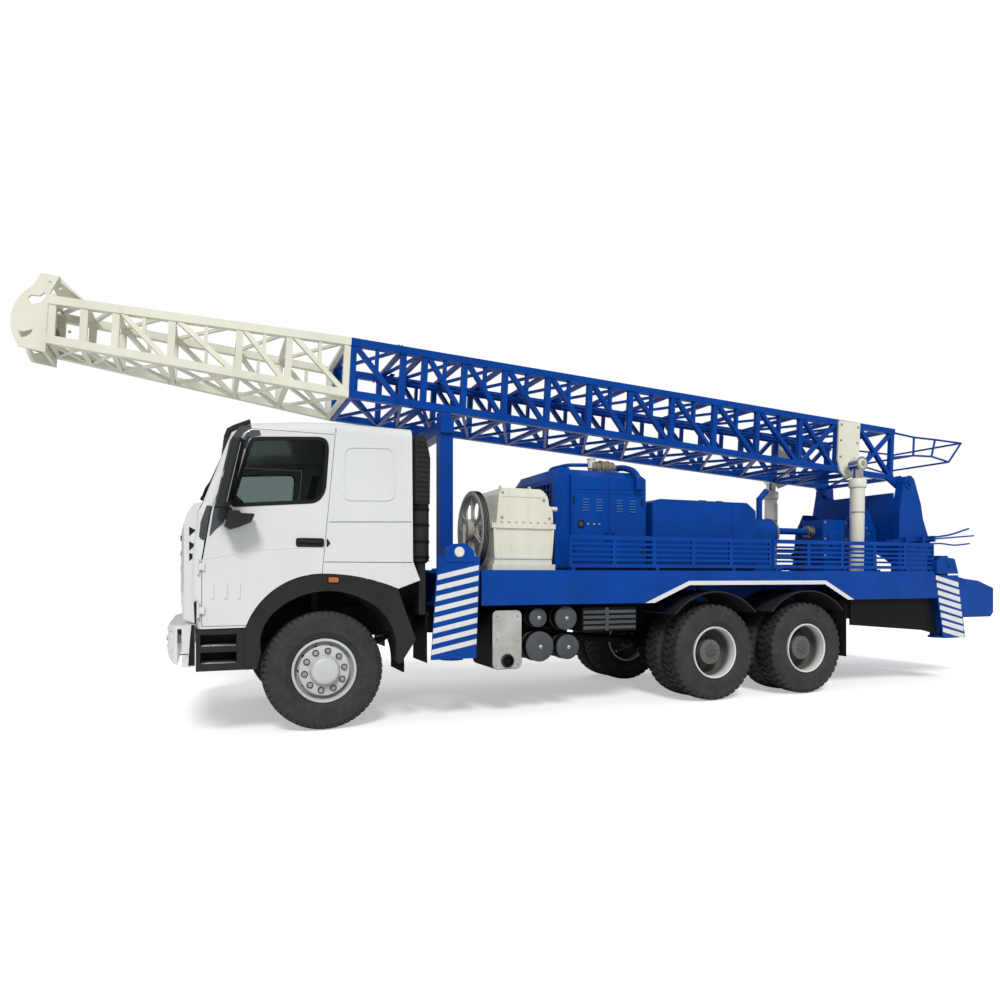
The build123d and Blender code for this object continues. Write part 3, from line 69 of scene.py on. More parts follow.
SHAFT_HEIGHT = 2000
WINCH_AXIS = (7420, 1990)
TABLE_CENTRE = (8990, 0, 1370)
MAST_PIN = (7960, 2700)
MAST_TILT = math.radians(3)
MAST_PLATE_FACE = 624
CYLINDER_FOOT = (6955, 790, 1300)
CREASE = math.radians(32)

BACK, ACROSS, UP = Vector((1, 0, 0)), Vector((0, 1, 0)), Vector((0, 0, 1))


# Making shapes

def at(x, y, z):
    """A place on the truck, in the frame's metres."""
    return Vector((x / 1000 - FRONT_AXLE_TO_MIDDLE, y / 1000, z / 1000))


def on_mast(station, y, height):
    """A place on the lowered mast: station from its pin and height square to it."""
    x = -station * math.cos(MAST_TILT) + height * math.sin(MAST_TILT)
    z = station * math.sin(MAST_TILT) + height * math.cos(MAST_TILT)
    return at(MAST_PIN[0] + x, y, MAST_PIN[1] + z)


def circle(count, radius, start=0.0):
    """Pairs of distances from a centre, evenly round a circle."""
    for number in range(count):
        angle = start + math.tau * number / count
        yield radius * math.cos(angle), radius * math.sin(angle)


def shapes(count):
    """Empty shapes to add to."""
    return [bmesh.new() for number in range(count)]


def square(x, z):
    """The outline between two x and two z."""
    return [(x[0], z[0]), (x[1], z[0]), (x[1], z[1]), (x[0], z[1])]


def strip(start, end, low, high):
    """The outline of a strip along a line, from low to high beside it."""
    return [(start[0], start[1] + low), (end[0], end[1] + low), (end[0], end[1] + high),
            (start[0], start[1] + high)]


def bridge(shape, rings):
    """Joins each closed ring of corners to the next with faces."""
    for near, far in zip(rings, rings[1:]):
        for index in range(len(near)):
            after = (index + 1) % len(near)
            shape.faces.new((near[index], near[after], far[after], far[index]))


def add_prism(shape, loop, push):
    """A closed loop of points pushed along a vector."""
    near = [shape.verts.new(point) for point in loop]
    far = [shape.verts.new(point + push) for point in loop]
    shape.faces.new(near)
    shape.faces.new(far[::-1])
    bridge(shape, [near, far])


def add_side_plate(shape, outline, y):
    """An outline of (x, z) places, as thick as from y[0] to y[1]."""
    add_prism(shape, [at(x, y[0], z) for x, z in outline], ACROSS * ((y[1] - y[0]) / 1000))


def add_slab(shape, x, y, z):
    """A square-edged block between two corners."""
    add_side_plate(shape, square(x, z), y)


def add_cab_plate(shape, outline, way, low, high):
    """A plate on one side of the cab, from low to high above its skin."""
    add_side_plate(shape, outline, (way * (CAB_FACE + low), way * (CAB_FACE + high)))


def add_side_frame(shape, inner, outer, y, depth):
    """A flat frame between two outlines of the same count, depth metres thick."""
    loops = [[at(x, y, z) for x, z in outline] for outline in (inner, outer)]
    add_frame(shape, loops[0], loops[1], ACROSS * depth)


def add_frame(shape, inner, outer, push):
    """A flat frame between two loops of the same count, pushed along a vector."""
    rings = [[shape.verts.new(point) for point in loop] for loop in (inner, outer)]
    rings += [[shape.verts.new(point + push) for point in loop] for loop in (outer, inner)]
    bridge(shape, rings + rings[:1])


def add_turned(shape, profile, centre, axis, steps=40, closed=False):
    """A turned form: profile is (along, radius) in millimetres about an axis."""
    axis = axis.normalized()
    side = axis.orthogonal().normalized()
    up = axis.cross(side)
    rings = []
    for along, radius in profile:
        middle = centre + axis * along / 1000
        if radius == 0:
            rings.append([shape.verts.new(middle)])
            continue
        turns = [math.tau * step / steps for step in range(steps)]
        rings.append([shape.verts.new(middle + (side * math.cos(turn) + up * math.sin(turn))
                                      * radius / 1000) for turn in turns])
    for near, far in zip(rings, rings[1:] + (rings[:1] if closed else [])):
        for index in range(steps):
            after = (index + 1) % steps
            corners = [near[index], near[after]] if len(near) > 1 else [near[0]]
            corners += [far[after], far[index]] if len(far) > 1 else [far[0]]
            if len(corners) > 2:
                shape.faces.new(corners)


def add_band(shape, centre, axis, half, inner, outer, steps=40):
    """A square-edged ring, half of its width on each side of its centre."""
    add_turned(shape, [(-half, inner), (-half, outer), (half, outer), (half, inner)], centre,
               axis, steps, True)


def add_rod(shape, start, end, radius, steps=16):
    """A round bar with a small chamfer at both ends."""
    length = (end - start).length * 1000
    chamfer = min(radius * 0.2, length * 0.2)
    profile = [(0, 0), (0, radius - chamfer), (chamfer, radius), (length - chamfer, radius),
               (length, radius - chamfer), (length, 0)]
    add_turned(shape, profile, start, end - start, steps)


def add_bolt(shape, centre, axis, across=24, head=12):
    """A hexagon head with a washer and the end of its stud."""
    axis = axis.normalized()
    add_turned(shape, [(0, 0), (0, across * 0.72), (3, across * 0.72), (3, 0)], centre, axis, 20)
    add_turned(shape, [(3, 0), (3, across / 2), (head, across / 2), (head + 2, across * 0.4),
                       (head + 2, 0)], centre, axis, 6)
    add_turned(shape, [(head, 0), (head, across * 0.26), (head + 5, across * 0.24),
                       (head + 5, 0)], centre, axis, 12)


def rounded(before, corner, after, reach, part, steps):
    """The places of a round corner, reach before and after it, or a part of a short side."""
    start, end = (corner + (place - corner).normalized()
                  * min(reach, (place - corner).length / part) for place in (before, after))
    for step in range(steps + 1):
        share = step / steps
        yield start * (1 - share) ** 2 + corner * 2 * share * (1 - share) + end * share ** 2


def bent_path(places, bend, steps=6):
    """The places with each corner made round, bend metres before and after it."""
    path = [places[0]]
    for corners in zip(places, places[1:], places[2:]):
        path += rounded(*corners, bend, 2, steps)
    return path + [places[-1]]


def softened(outline, radius, steps=5):
    """An outline of (x, z) places with round corners."""
    flat = [Vector(place) for place in outline]
    return [tuple(spot) for corners in zip(flat[-1:] + flat[:-1], flat, flat[1:] + flat[:1])
            for spot in rounded(*corners, radius, 2.2, steps)]


def add_pipe(shape, places, radius, bend=80, steps=12):
    """A rigid pipe through places with round bends, sizes in millimetres."""
    path = bent_path(places, bend / 1000)
    side = (path[1] - path[0]).orthogonal().normalized()
    rings = []
    for index, place in enumerate(path):
        ahead = path[min(index + 1, len(path) - 1)] - path[max(index - 1, 0)]
        ahead.normalize()
        side = (side - ahead * side.dot(ahead)).normalized()
        up = ahead.cross(side)
        rings.append([shape.verts.new(place + (side * math.cos(math.tau * step / steps)
                      + up * math.sin(math.tau * step / steps)) * radius / 1000)
                      for step in range(steps)])
    bridge(shape, rings)
    shape.faces.new(rings[0])
    shape.faces.new(rings[-1][::-1])


def grown(outline, distance):
    """An outline of (x, z) places moved outwards by a distance, its corners kept."""
    moved = []
    area = sum(a[0] * b[1] - b[0] * a[1] for a, b in zip(outline, outline[1:] + outline[:1]))
    turn = 1 if area > 0 else -1
    for before, corner, after in zip(outline[-1:] + outline[:-1], outline,
                                     outline[1:] + outline[:1]):
        first = Vector((corner[0] - before[0], corner[1] - before[1])).normalized()
        second = Vector((after[0] - corner[0], after[1] - corner[1])).normalized()
        out = Vector((first.y + second.y, -first.x - second.x)).normalized() * turn
        normal = Vector((first.y, -first.x)) * turn
        reach = distance / max(out.dot(normal), 0.3)
        moved.append((corner[0] + out.x * reach, corner[1] + out.y * reach))
    return moved


def finish_piece(name, shape, material, bevel=0.0, body="truck", slot=None):
    """Makes the shape an object on a body; the slot, or the material's usual one, is worked out
    but not used.
    """
    bmesh.ops.recalc_face_normals(shape, faces=shape.faces)
    mesh = bpy.data.meshes.new(name)
    shape.to_mesh(mesh)
    shape.free()
    mesh.materials.append(material)
    mesh.shade_smooth()
    mesh.set_sharp_from_angle(angle=CREASE)
    piece = bpy.data.objects.new(name, mesh)
    bpy.context.scene.collection.objects.link(piece)
    if bevel:
        edge = piece.modifiers.new("round_edges", "BEVEL")
        edge.width = bevel / 1000
        edge.segments = 2
        edge.limit_method = "ANGLE"
        edge.angle_limit = math.radians(35)
    slot = slot or SLOTS[material.name]
    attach(piece, body)
    return piece


# Making materials

def plug(tree, value, socket):
    """Links a socket to an input, or sets the input to a plain value."""
    if isinstance(value, bpy.types.NodeSocket):
        tree.links.new(value, socket)
    else:
        socket.default_value = value


def feed(tree, node, **settings):
    """Fills a node's inputs by name; what isn't an input is set on the node."""
    for name, value in settings.items():
        socket = node.inputs.get(name.replace("_", " "))
        if socket is None:
            setattr(node, name, value)
        else:
            plug(tree, value, socket)
    return node


def add(tree, kind, **settings):
    """A new node with its settings."""
    return feed(tree, tree.nodes.new("ShaderNode" + kind), **settings)


def calc(tree, operation, first, second=0.0, clamp=False):
    """One sum on values or sockets."""
    made = add(tree, "Math", operation=operation, use_clamp=clamp)
    plug(tree, first, made.inputs[0])
    plug(tree, second, made.inputs[1])
    return made.outputs[0]


def ramp(tree, value, low, high, at_low=0.0, at_high=1.0):
    """The value spread between two ends."""
    made = add(tree, "MapRange", Value=value, From_Min=low, From_Max=high, To_Min=at_low,
               To_Max=at_high)
    return made.outputs[0]


def mixed(tree, share, first, second):
    """Two colours mixed by a share."""
    made = add(tree, "Mix", data_type="RGBA")
    for index, value in ((0, share), (6, first), (7, second)):
        plug(tree, value, made.inputs[index])
    return made.outputs[2]


def colour(red, green, blue):
    """A colour with its fourth value."""
    return (red, green, blue, 1.0)


def place_of(tree):
    """The place on the piece, in metres."""
    return add(tree, "TexCoord").outputs["Object"]


def noise(tree, where, scale, detail=3.0, roughness=0.55):
    """Cloudy noise at a scale."""
    made = add(tree, "TexNoise", Vector=where, Scale=scale, Detail=detail, Roughness=roughness)
    return made.outputs[0]


def new_group(name, inputs, outputs):
    """A node group with named inputs and their values: a tuple is a colour."""
    tree = bpy.data.node_groups.new(name, "ShaderNodeTree")
    for label, value in inputs.items():
        kind = "NodeSocketColor" if isinstance(value, tuple) else "NodeSocketFloat"
        tree.interface.new_socket(name=label, in_out="INPUT",
                                  socket_type=kind).default_value = value
    for label in outputs:
        kind = "NodeSocketColor" if label == "Colour" else "NodeSocketFloat"
        tree.interface.new_socket(name=label, in_out="OUTPUT", socket_type=kind)
    return tree, tree.nodes.new("NodeGroupInput").outputs, tree.nodes.new("NodeGroupOutput")


def use(tree, group, **settings):
    """A group placed in a material with its own values."""
    made = add(tree, "Group", node_tree=group)
    return feed(tree, made, **settings).outputs


def uneven_colour_group():
    """Slow changes of a colour, as in sprayed paint that has weathered."""
    tree, given, result = new_group("uneven colour", {
        "Colour": colour(0.5, 0.5, 0.5), "Spread": 0.1, "Scale": 2.0}, ["Colour"])
    light = ramp(tree, noise(tree, place_of(tree), given["Scale"], 4.0), 0.3, 0.7)
    share = calc(tree, "MULTIPLY", light, given["Spread"])
    hue = add(tree, "HueSaturation", Color=given["Colour"],
              Value=calc(tree, "SUBTRACT", 1.0, share))
    feed(tree, result, Colour=hue.outputs[0])
    return tree


def road_dust_group():
    """Dust that is thick low down and thins out with height."""
    tree, given, result = new_group("road dust", {
        "Colour": colour(0.5, 0.5, 0.5), "Dust": colour(0.35, 0.3, 0.24), "Thick At": 0.3,
        "Gone At": 1.5, "Amount": 0.3}, ["Colour", "Mask"])
    where = place_of(tree)
    height = add(tree, "SeparateXYZ", Vector=where).outputs[2]
    low = ramp(tree, height, given["Thick At"], given["Gone At"], 1.0, 0.06)
    cloud = ramp(tree, noise(tree, where, 6.0, 6.0, 0.65), 0.32, 0.72)
    mask = calc(tree, "MULTIPLY", calc(tree, "MULTIPLY", low, cloud), given["Amount"], True)
    feed(tree, result, Colour=mixed(tree, mask, given["Colour"], given["Dust"]), Mask=mask)
    return tree


def chipped_group():
    """Small chips and rubbed places where the layer below shows."""
    tree, given, result = new_group("chips", {"Scale": 30.0, "Amount": 0.1}, ["Mask"])
    where = place_of(tree)
    fine = calc(tree, "MULTIPLY", noise(tree, where, given["Scale"], 5.0, 0.7), 0.72)
    patch = calc(tree, "MULTIPLY", noise(tree, where, 2.2, 2.0), 0.28)
    edge = calc(tree, "SUBTRACT", 0.70, calc(tree, "MULTIPLY", given["Amount"], 0.22))
    over = calc(tree, "SUBTRACT", calc(tree, "ADD", fine, patch), edge)
    feed(tree, result, Mask=calc(tree, "MULTIPLY", over, 40.0, True))
    return tree


def streaks_group():
    """Rain streaks that run down upright faces."""
    tree, given, result = new_group("rain streaks", {"Scale": 9.0, "Amount": 0.2}, ["Mask"])
    long = add(tree, "Mapping", Vector=place_of(tree), Scale=(1.0, 1.0, 0.06)).outputs[0]
    lines = ramp(tree, noise(tree, long, given["Scale"], 5.0, 0.6), 0.48, 0.75)
    feed(tree, result, Mask=calc(tree, "MULTIPLY", lines, given["Amount"], True))
    return tree


def sprayed_skin_group():
    """The slight ripple of sprayed paint over plate that is not quite flat."""
    tree, given, result = new_group("sprayed skin", {"Ripple": 0.3, "Dents": 0.3}, ["Height"])
    where = place_of(tree)
    ripple = calc(tree, "MULTIPLY", noise(tree, where, 260.0, 1.0), given["Ripple"])
    dents = calc(tree, "MULTIPLY", noise(tree, where, 4.0, 1.0), given["Dents"])
    feed(tree, result, Height=calc(tree, "ADD", ripple, dents))
    return tree


def moulded_grain_group():
    """The fine leathery grain of moulded plastic and rubber."""
    tree, given, result = new_group("moulded grain", {"Scale": 400.0}, ["Height"])
    cells = add(tree, "TexVoronoi", Vector=place_of(tree), Scale=given["Scale"])
    feed(tree, result, Height=cells.outputs["Distance"])
    return tree


UNEVEN = uneven_colour_group()
DUST = road_dust_group()
CHIPS = chipped_group()
STREAKS = streaks_group()
SKIN = sprayed_skin_group()
GRAIN = moulded_grain_group()


def blank(name):
    """A new material with its tree and its shader."""
    material = bpy.data.materials.new(name)
    material.use_nodes = True
    tree = material.node_tree
    return material, tree, tree.nodes["Principled BSDF"]


def relief(tree, height, strength, distance):
    """A height as a bump for a shader's normal."""
    return add(tree, "Bump", Height=height, Strength=strength, Distance=distance).outputs[0]


def rougher(tree, mask, low, high):
    """Roughness that goes from low to high with a mask."""
    return ramp(tree, mask, 0.0, 1.0, low, high)


def painted(name, hue, roughness, dust=(0.5, 1.6, 0.3), chips=0.1, streaks=0.15,
            under=(0.16, 0.15, 0.14), spread=0.12, shine=0.5, coat=0.0):
    """Sprayed paint on steel, with its dust, chips, streaks and ripple."""
    material, tree, shader = blank(name)
    base = use(tree, UNEVEN, Colour=colour(*hue), Spread=spread, Scale=1.7)["Colour"]
    runs = use(tree, STREAKS, Amount=streaks)["Mask"]
    base = mixed(tree, runs, base, colour(0.30, 0.27, 0.22))
    bare = use(tree, CHIPS, Amount=chips)["Mask"]
    base = mixed(tree, bare, base, colour(*under))
    dusty = use(tree, DUST, Colour=base, Thick_At=dust[0], Gone_At=dust[1], Amount=dust[2])
    worn = calc(tree, "MAXIMUM", dusty["Mask"], calc(tree, "MAXIMUM", bare, runs))
    skin = use(tree, SKIN, Ripple=0.15, Dents=0.8)["Height"]
    feed(tree, shader, Base_Color=dusty["Colour"], Roughness=rougher(tree, worn, roughness, 0.8),
         Specular_IOR_Level=shine, Normal=relief(tree, skin, 0.25, 0.004))
    if coat:
        feed(tree, shader, Coat_Weight=coat, Coat_Roughness=0.06)
    return material


def cab_paint():
    """Clean white of the cab, with a clear coat."""
    return painted("cab_white", (0.785, 0.81, 0.80), 0.24, (0.6, 1.7, 0.16), 0.0, 0.05,
                   spread=0.06, coat=0.4)


def rig_paint():
    """Deep blue of the rig's frame, with little dirt."""
    return painted("rig_blue", (0.0, 0.060, 0.365), 0.34, (0.5, 1.9, 0.03), 0.08, 0.012,
                   (0.01, 0.03, 0.10), 0.26, 0.12)


def highlight_blue_paint():
    """The same blue made lighter, a painted highlight where the sun catches the canopy's louvres.
    """
    return painted("painted_highlight_blue", (0.03, 0.13, 0.42), 0.5, (0.5, 1.9, 0.03), 0.1, 0.02,
                   (0.01, 0.03, 0.10), 0.2, 0.2)


def cream_paint():
    """Cream enamel of the machines and the mast's upper length."""
    return painted("cream", (0.84, 0.835, 0.71), 0.42, (1.3, 2.2, 0.12), 0.16, 0.14,
                   (0.30, 0.17, 0.09), 0.12)


def pulley_paint():
    """Worn grey of the pump's big pulley."""
    return painted("pulley_grey", (0.44, 0.43, 0.38), 0.5, (1.3, 2.4, 0.30), 0.45, 0.2,
                   (0.20, 0.12, 0.07), 0.3)


def frame_paint():
    """Black of the truck's frame."""
    return painted("frame_black", (0.004, 0.005, 0.007), 0.55, (0.3, 1.1, 0.02), 0.05, 0.01,
                   (0.03, 0.028, 0.026), 0.2, 0.15)


def stripe_paint():
    """White of the warning stripes, with the blue showing through."""
    return painted("stripe_white", (0.80, 0.81, 0.82), 0.35, (0.5, 1.6, 0.22), 0.14, 0.12,
                   (0.02, 0.10, 0.35), 0.05)


def wheel_paint():
    """Silver wheel paint with dust that is thickest low down."""
    return painted("wheel_silver", (0.66, 0.69, 0.69), 0.38, (0.2, 0.9, 0.30), 0.10, 0.06,
                   (0.10, 0.09, 0.08), 0.25)


def silver_cover():
    """The pale heat shield of the silencer."""
    material, tree, shader = blank("silver_cover")
    base = use(tree, UNEVEN, Colour=colour(0.66, 0.66, 0.63), Spread=0.35, Scale=5.0)["Colour"]
    dusty = use(tree, DUST, Colour=base, Thick_At=0.4, Gone_At=1.2, Amount=0.6)
    skin = use(tree, SKIN, Ripple=0.6, Dents=1.0)["Height"]
    feed(tree, shader, Base_Color=dusty["Colour"], Metallic=0.35, Roughness=0.5,
         Normal=relief(tree, skin, 0.4, 0.004))
    return material


def cast_iron():
    """Rough cast iron with oil and rust."""
    material, tree, shader = blank("cast_iron")
    where = place_of(tree)
    rust = ramp(tree, noise(tree, where, 9.0, 8.0, 0.7), 0.42, 0.66)
    base = mixed(tree, rust, colour(0.26, 0.25, 0.24), colour(0.30, 0.17, 0.09))
    dusty = use(tree, DUST, Colour=base, Thick_At=1.4, Gone_At=2.6, Amount=0.5)
    feed(tree, shader, Base_Color=dusty["Colour"], Roughness=rougher(tree, rust, 0.45, 0.85),
         Metallic=ramp(tree, rust, 0.0, 1.0, 0.8, 0.1),
         Normal=relief(tree, noise(tree, where, 180.0, 4.0), 0.5, 0.003))
    return material


def bare_steel():
    """Turned or zinc-coated steel of bolts, pins and shafts."""
    material, tree, shader = blank("bare_steel")
    where = place_of(tree)
    stain = ramp(tree, noise(tree, where, 30.0, 6.0, 0.7), 0.4, 0.7)
    feed(tree, shader, Metallic=0.85, Roughness=rougher(tree, stain, 0.28, 0.6),
         Base_Color=mixed(tree, stain, colour(0.58, 0.58, 0.57), colour(0.33, 0.29, 0.25)),
         Normal=relief(tree, noise(tree, where, 240.0, 2.0), 0.2, 0.001))
    return material


def chromed_rod():
    """Hard chrome with a faint film of oil."""
    material, tree, shader = blank("hard_chrome")
    film = ramp(tree, noise(tree, place_of(tree), 8.0, 4.0), 0.4, 0.7)
    feed(tree, shader, Metallic=1.0, Roughness=rougher(tree, film, 0.06, 0.22),
         Base_Color=mixed(tree, film, colour(0.78, 0.78, 0.80), colour(0.60, 0.58, 0.54)))
    return material


def grained_plastic(name, shade, roughness=0.55):
    """Moulded plastic with a fine grain, greyed by the sun."""
    material, tree, shader = blank(name)
    base = use(tree, UNEVEN, Colour=colour(shade, shade * 1.12, shade * 1.25), Spread=0.35,
               Scale=4.0)["Colour"]
    dusty = use(tree, DUST, Colour=base, Thick_At=0.5, Gone_At=1.5, Amount=0.04)
    grain = use(tree, GRAIN, Scale=420.0)["Height"]
    feed(tree, shader, Base_Color=dusty["Colour"], Specular_IOR_Level=0.25,
         Roughness=rougher(tree, dusty["Mask"], roughness, 0.9),
         Normal=relief(tree, grain, 0.35, 0.0015))
    return material


def tyre_rubber():
    """Dusty moulded rubber, paler in cloudy patches of dust."""
    material, tree, shader = blank("tyre_rubber")
    base = use(tree, UNEVEN, Colour=colour(0.036, 0.037, 0.037), Spread=0.45, Scale=7.0)["Colour"]
    dirt = ramp(tree, noise(tree, place_of(tree), 14.0, 8.0, 0.7), 0.42, 0.74)
    share = calc(tree, "MULTIPLY", dirt, 0.40)
    grain = use(tree, GRAIN, Scale=260.0)["Height"]
    feed(tree, shader, Base_Color=mixed(tree, share, base, colour(0.115, 0.112, 0.098)),
         Specular_IOR_Level=0.3, Roughness=rougher(tree, dirt, 0.62, 0.9),
         Normal=relief(tree, grain, 0.3, 0.002))
    return material


def twin_rim_paint(name, x):
    """Dark wheel paint with a bright lip: x is the wheel's place."""
    material, tree, shader = blank(name)
    where = add(tree, "SeparateXYZ", Vector=place_of(tree)).outputs
    centre = at(x, 0, HUB_HEIGHT)
    across = calc(tree, "SUBTRACT", where[0], centre.x)
    height = calc(tree, "SUBTRACT", where[2], centre.z)
    together = calc(tree, "ADD", calc(tree, "MULTIPLY", across, across),
                    calc(tree, "MULTIPLY", height, height))
    lip = ramp(tree, calc(tree, "SQRT", together), 0.2655, 0.2695)
    base = mixed(tree, lip, colour(0.105, 0.105, 0.100), colour(0.76, 0.77, 0.78))
    dusty = use(tree, DUST, Colour=base, Thick_At=0.1, Gone_At=1.2, Amount=0.2)
    skin = use(tree, SKIN, Ripple=0.4, Dents=0.6)["Height"]
    feed(tree, shader, Base_Color=dusty["Colour"], Normal=relief(tree, skin, 0.3, 0.003),
         Roughness=rougher(tree, dusty["Mask"], 0.42, 0.85))
    return material


def tinted_glass():
    """Cab glass, a little green and dusty."""
    material, tree, shader = blank("tinted_glass")
    film = ramp(tree, noise(tree, place_of(tree), 5.0, 5.0), 0.35, 0.8, 0.03, 0.16)
    feed(tree, shader, Base_Color=colour(0.34, 0.40, 0.39), Transmission_Weight=1.0, IOR=1.15,
         Roughness=film)
    return material


def mirror_glass():
    """Silvered glass."""
    material, tree, shader = blank("mirror_glass")
    film = ramp(tree, noise(tree, place_of(tree), 12.0, 4.0), 0.4, 0.8, 0.02, 0.12)
    feed(tree, shader, Base_Color=colour(0.85, 0.87, 0.88), Metallic=1.0, Roughness=film)
    return material


def lens(name, hue):
    """A ribbed lamp lens."""
    material, tree, shader = blank(name)
    ribs = add(tree, "TexWave", Vector=place_of(tree), Scale=40.0, bands_direction="Y").outputs[1]
    base = mixed(tree, calc(tree, "MULTIPLY", ribs, 0.3), colour(*hue),
                 colour(*[part * 0.55 for part in hue]))
    feed(tree, shader, Base_Color=base, Roughness=0.15, Coat_Weight=1.0,
         Normal=relief(tree, ribs, 0.4, 0.002))
    return material


def cab_cloth():
    """Woven seat cloth, its threads passing over and under each other."""
    material, tree, shader = blank("seat_cloth")
    where = place_of(tree)
    warp, weft = (add(tree, "TexWave", Vector=where, Scale=90.0, bands_direction=way,
                      Distortion=0.3).outputs[1] for way in ("X", "Z"))
    base = mixed(tree, calc(tree, "MULTIPLY", warp, weft), colour(0.05, 0.05, 0.055),
                 colour(0.13, 0.13, 0.14))
    feed(tree, shader, Base_Color=base, Roughness=0.9, Sheen_Weight=0.3,
         Normal=relief(tree, calc(tree, "MAXIMUM", warp, weft), 0.5, 0.002))
    return material


def wire_rope():
    """Greased steel strands."""
    material, tree, shader = blank("wire_rope")
    lay = add(tree, "TexWave", Vector=place_of(tree), Scale=60.0, bands_direction="DIAGONAL",
              Distortion=1.5).outputs[1]
    feed(tree, shader, Metallic=0.7, Roughness=0.45, Normal=relief(tree, lay, 0.8, 0.003),
         Base_Color=mixed(tree, lay, colour(0.07, 0.06, 0.05), colour(0.30, 0.28, 0.25)))
    return material


WHITE = cab_paint()
BLUE = rig_paint()
CREAM = cream_paint()
BLACK = frame_paint()
# A lighter blue whose pale tone is a painted highlight of the sun on the louvres.
HIGHLIGHT_BLUE = highlight_blue_paint()
PULLEY = pulley_paint()
STRIPE = stripe_paint()
SILVER = silver_cover()
IRON = cast_iron()
STEEL = bare_steel()
CHROME = chromed_rod()
PLASTIC = grained_plastic("dark_plastic", 0.020)
SEAL = grained_plastic("seal_rubber", 0.008, 0.65)
COVER = grained_plastic("grey_plastic", 0.085, 0.5)
RUBBER = tyre_rubber()
WHEEL = wheel_paint()
GLASS = tinted_glass()
MIRROR = mirror_glass()
CLEAR = lens("clear_lens", (0.80, 0.82, 0.84))
RED = lens("red_lens", (0.20, 0.01, 0.015))
AMBER = lens("amber_lens", (0.52, 0.15, 0.02))
CLOTH = cab_cloth()
ROPE = wire_rope()

# The record's slots: a CAD node's own finish first, then the others that go to the slot
FINISHES = {
    "white_paint": (WHITE, STRIPE), "cream_paint": (CREAM,), "blue_paint": (BLUE, HIGHLIGHT_BLUE),
    "black_plastic": (PLASTIC, SEAL, COVER), "chassis_black": (BLACK,),
    "grey_iron": (IRON, STEEL, SILVER, PULLEY, ROPE), "rod_chrome": (CHROME,),
    "tyre_rubber": (RUBBER,), "rim_silver": (WHEEL,), "window_glass": (GLASS, MIRROR),
    "lamp_lens": (CLEAR, RED, AMBER), "cab_fabric": (CLOTH,)}
SLOTS = {finish.name: slot for slot, finishes in FINISHES.items() for finish in finishes}


# The CAD nodes' finishes

def dress_nodes():
    """Gives every CAD node the finish of its material slot, or its own."""
    own = {"pump_drive": PULLEY}
    for axle in ("middle", "rear"):
        x = WHEELS[axle + "_wheels"][0]
        twin = twin_rim_paint("twin_rim_%d" % x, x)
        for side in SIDES:
            own["rims_%s_%s" % (axle, side)] = twin
    for part in frame["record"]["subparts"]:
        material = own.get(part["node"], FINISHES[part["material_slot"]][0])
        for place in frame["nodes"][part["node"]].material_slots:
            place.material = material


# Wheels

def add_carcass(shape, x, y):
    """A tyre without its tread, its middle at y."""
    half = [(105, 293), (128, 316), (142, 348), (146.5, 353), (145.5, 359), (148.5, 390),
            (149.5, 412), (148, 445), (144, 474), (146, 478), (143, 484), (133, 500),
            (118, 521), (104, 529)]
    profile = [(-side, radius) for side, radius in half] + [(0, 531)]
    profile += [(side, radius) for side, radius in half[::-1]]
    add_turned(shape, profile, at(x, y, HUB_HEIGHT), ACROSS, 96, True)


def add_tread_block(shape, x, y, section, turn, width):
    """One tread block: section is (across, radius, lead); lead, turn and width are angles."""
    ends = []
    for share in (0, 1):
        corners = [(across, radius, turn + lead + width * share)
                   for across, radius, lead in section]
        ends.append([shape.verts.new(at(x + radius * math.cos(angle), y + across,
                                        HUB_HEIGHT + radius * math.sin(angle)))
                     for across, radius, angle in corners])
    shape.faces.new(ends[0])
    shape.faces.new(ends[1][::-1])
    bridge(shape, ends)


def add_tread(shape, x, y, count, cover, rows):
    """Shoulder lugs and rows of blocks all round a tyre."""
    pitch = math.tau / count
    for number in range(count):
        for way in (-1, 1):
            turn = pitch * (number + (0.5 if way > 0 else 0))
            lug = [(62, 526, 0.10), (62, 543.4, 0.10), (100, 539.4, 0), (117, 536.8, 0),
                   (131, 512, 0), (141, 487, 0), (136, 484, 0), (112, 515, 0)]
            section = [(way * a, r, lead * pitch * way) for a, r, lead in lug]
            add_tread_block(shape, x, y, section, turn, pitch * cover)
        for low, high in rows:
            turn = pitch * (number + (0.25 if low < 0 else 0.75))
            lean = 0.16 if low < 0 else -0.16
            section = [(low, 526, 0), (low, 544.2, 0), (high, 544.2, lean * pitch),
                       (high, 526, lean * pitch)]
            add_tread_block(shape, x, y, section, turn, pitch * (cover + 0.06))


def make_tyre(name, body, x, middles, count, cover, rows):
    """One tyre, or a pair on one wheel, with its tread."""
    shape = bmesh.new()
    for y in middles:
        add_carcass(shape, x, y)
        add_tread(shape, x, y, count, cover, rows)
    return finish_piece(name, shape, RUBBER, body=body)


def make_tyres():
    """Ribs on the front tyres, deep lugs on the ones behind, in place of the CAD tyres."""
    for side, way in SIDES.items():
        x, y = WHEELS["front_wheel"]
        piece = make_tyre("front_tyre_" + side, "front_wheel_" + side, x, [way * y], 58, 0.78,
                          [(-54, -20), (-13, 13), (20, 54)])
        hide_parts("tyre_front_" + side)
        for axle in ("middle", "rear"):
            x, y = WHEELS[axle + "_wheels"]
            piece = make_tyre(axle + "_tyres_" + side, axle + "_wheels_" + side, x,
                              [way * y - TWIN_OFFSET, way * y + TWIN_OFFSET], 40, 0.60,
                              [(-50, -5), (5, 50)])
            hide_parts("tyres_" + axle + "_" + side)


def ring_of(x, y, radius, count, start):
    """Places round a hub, radius in millimetres."""
    for back, up in circle(count, radius, start):
        yield at(x + back, y, HUB_HEIGHT + up)


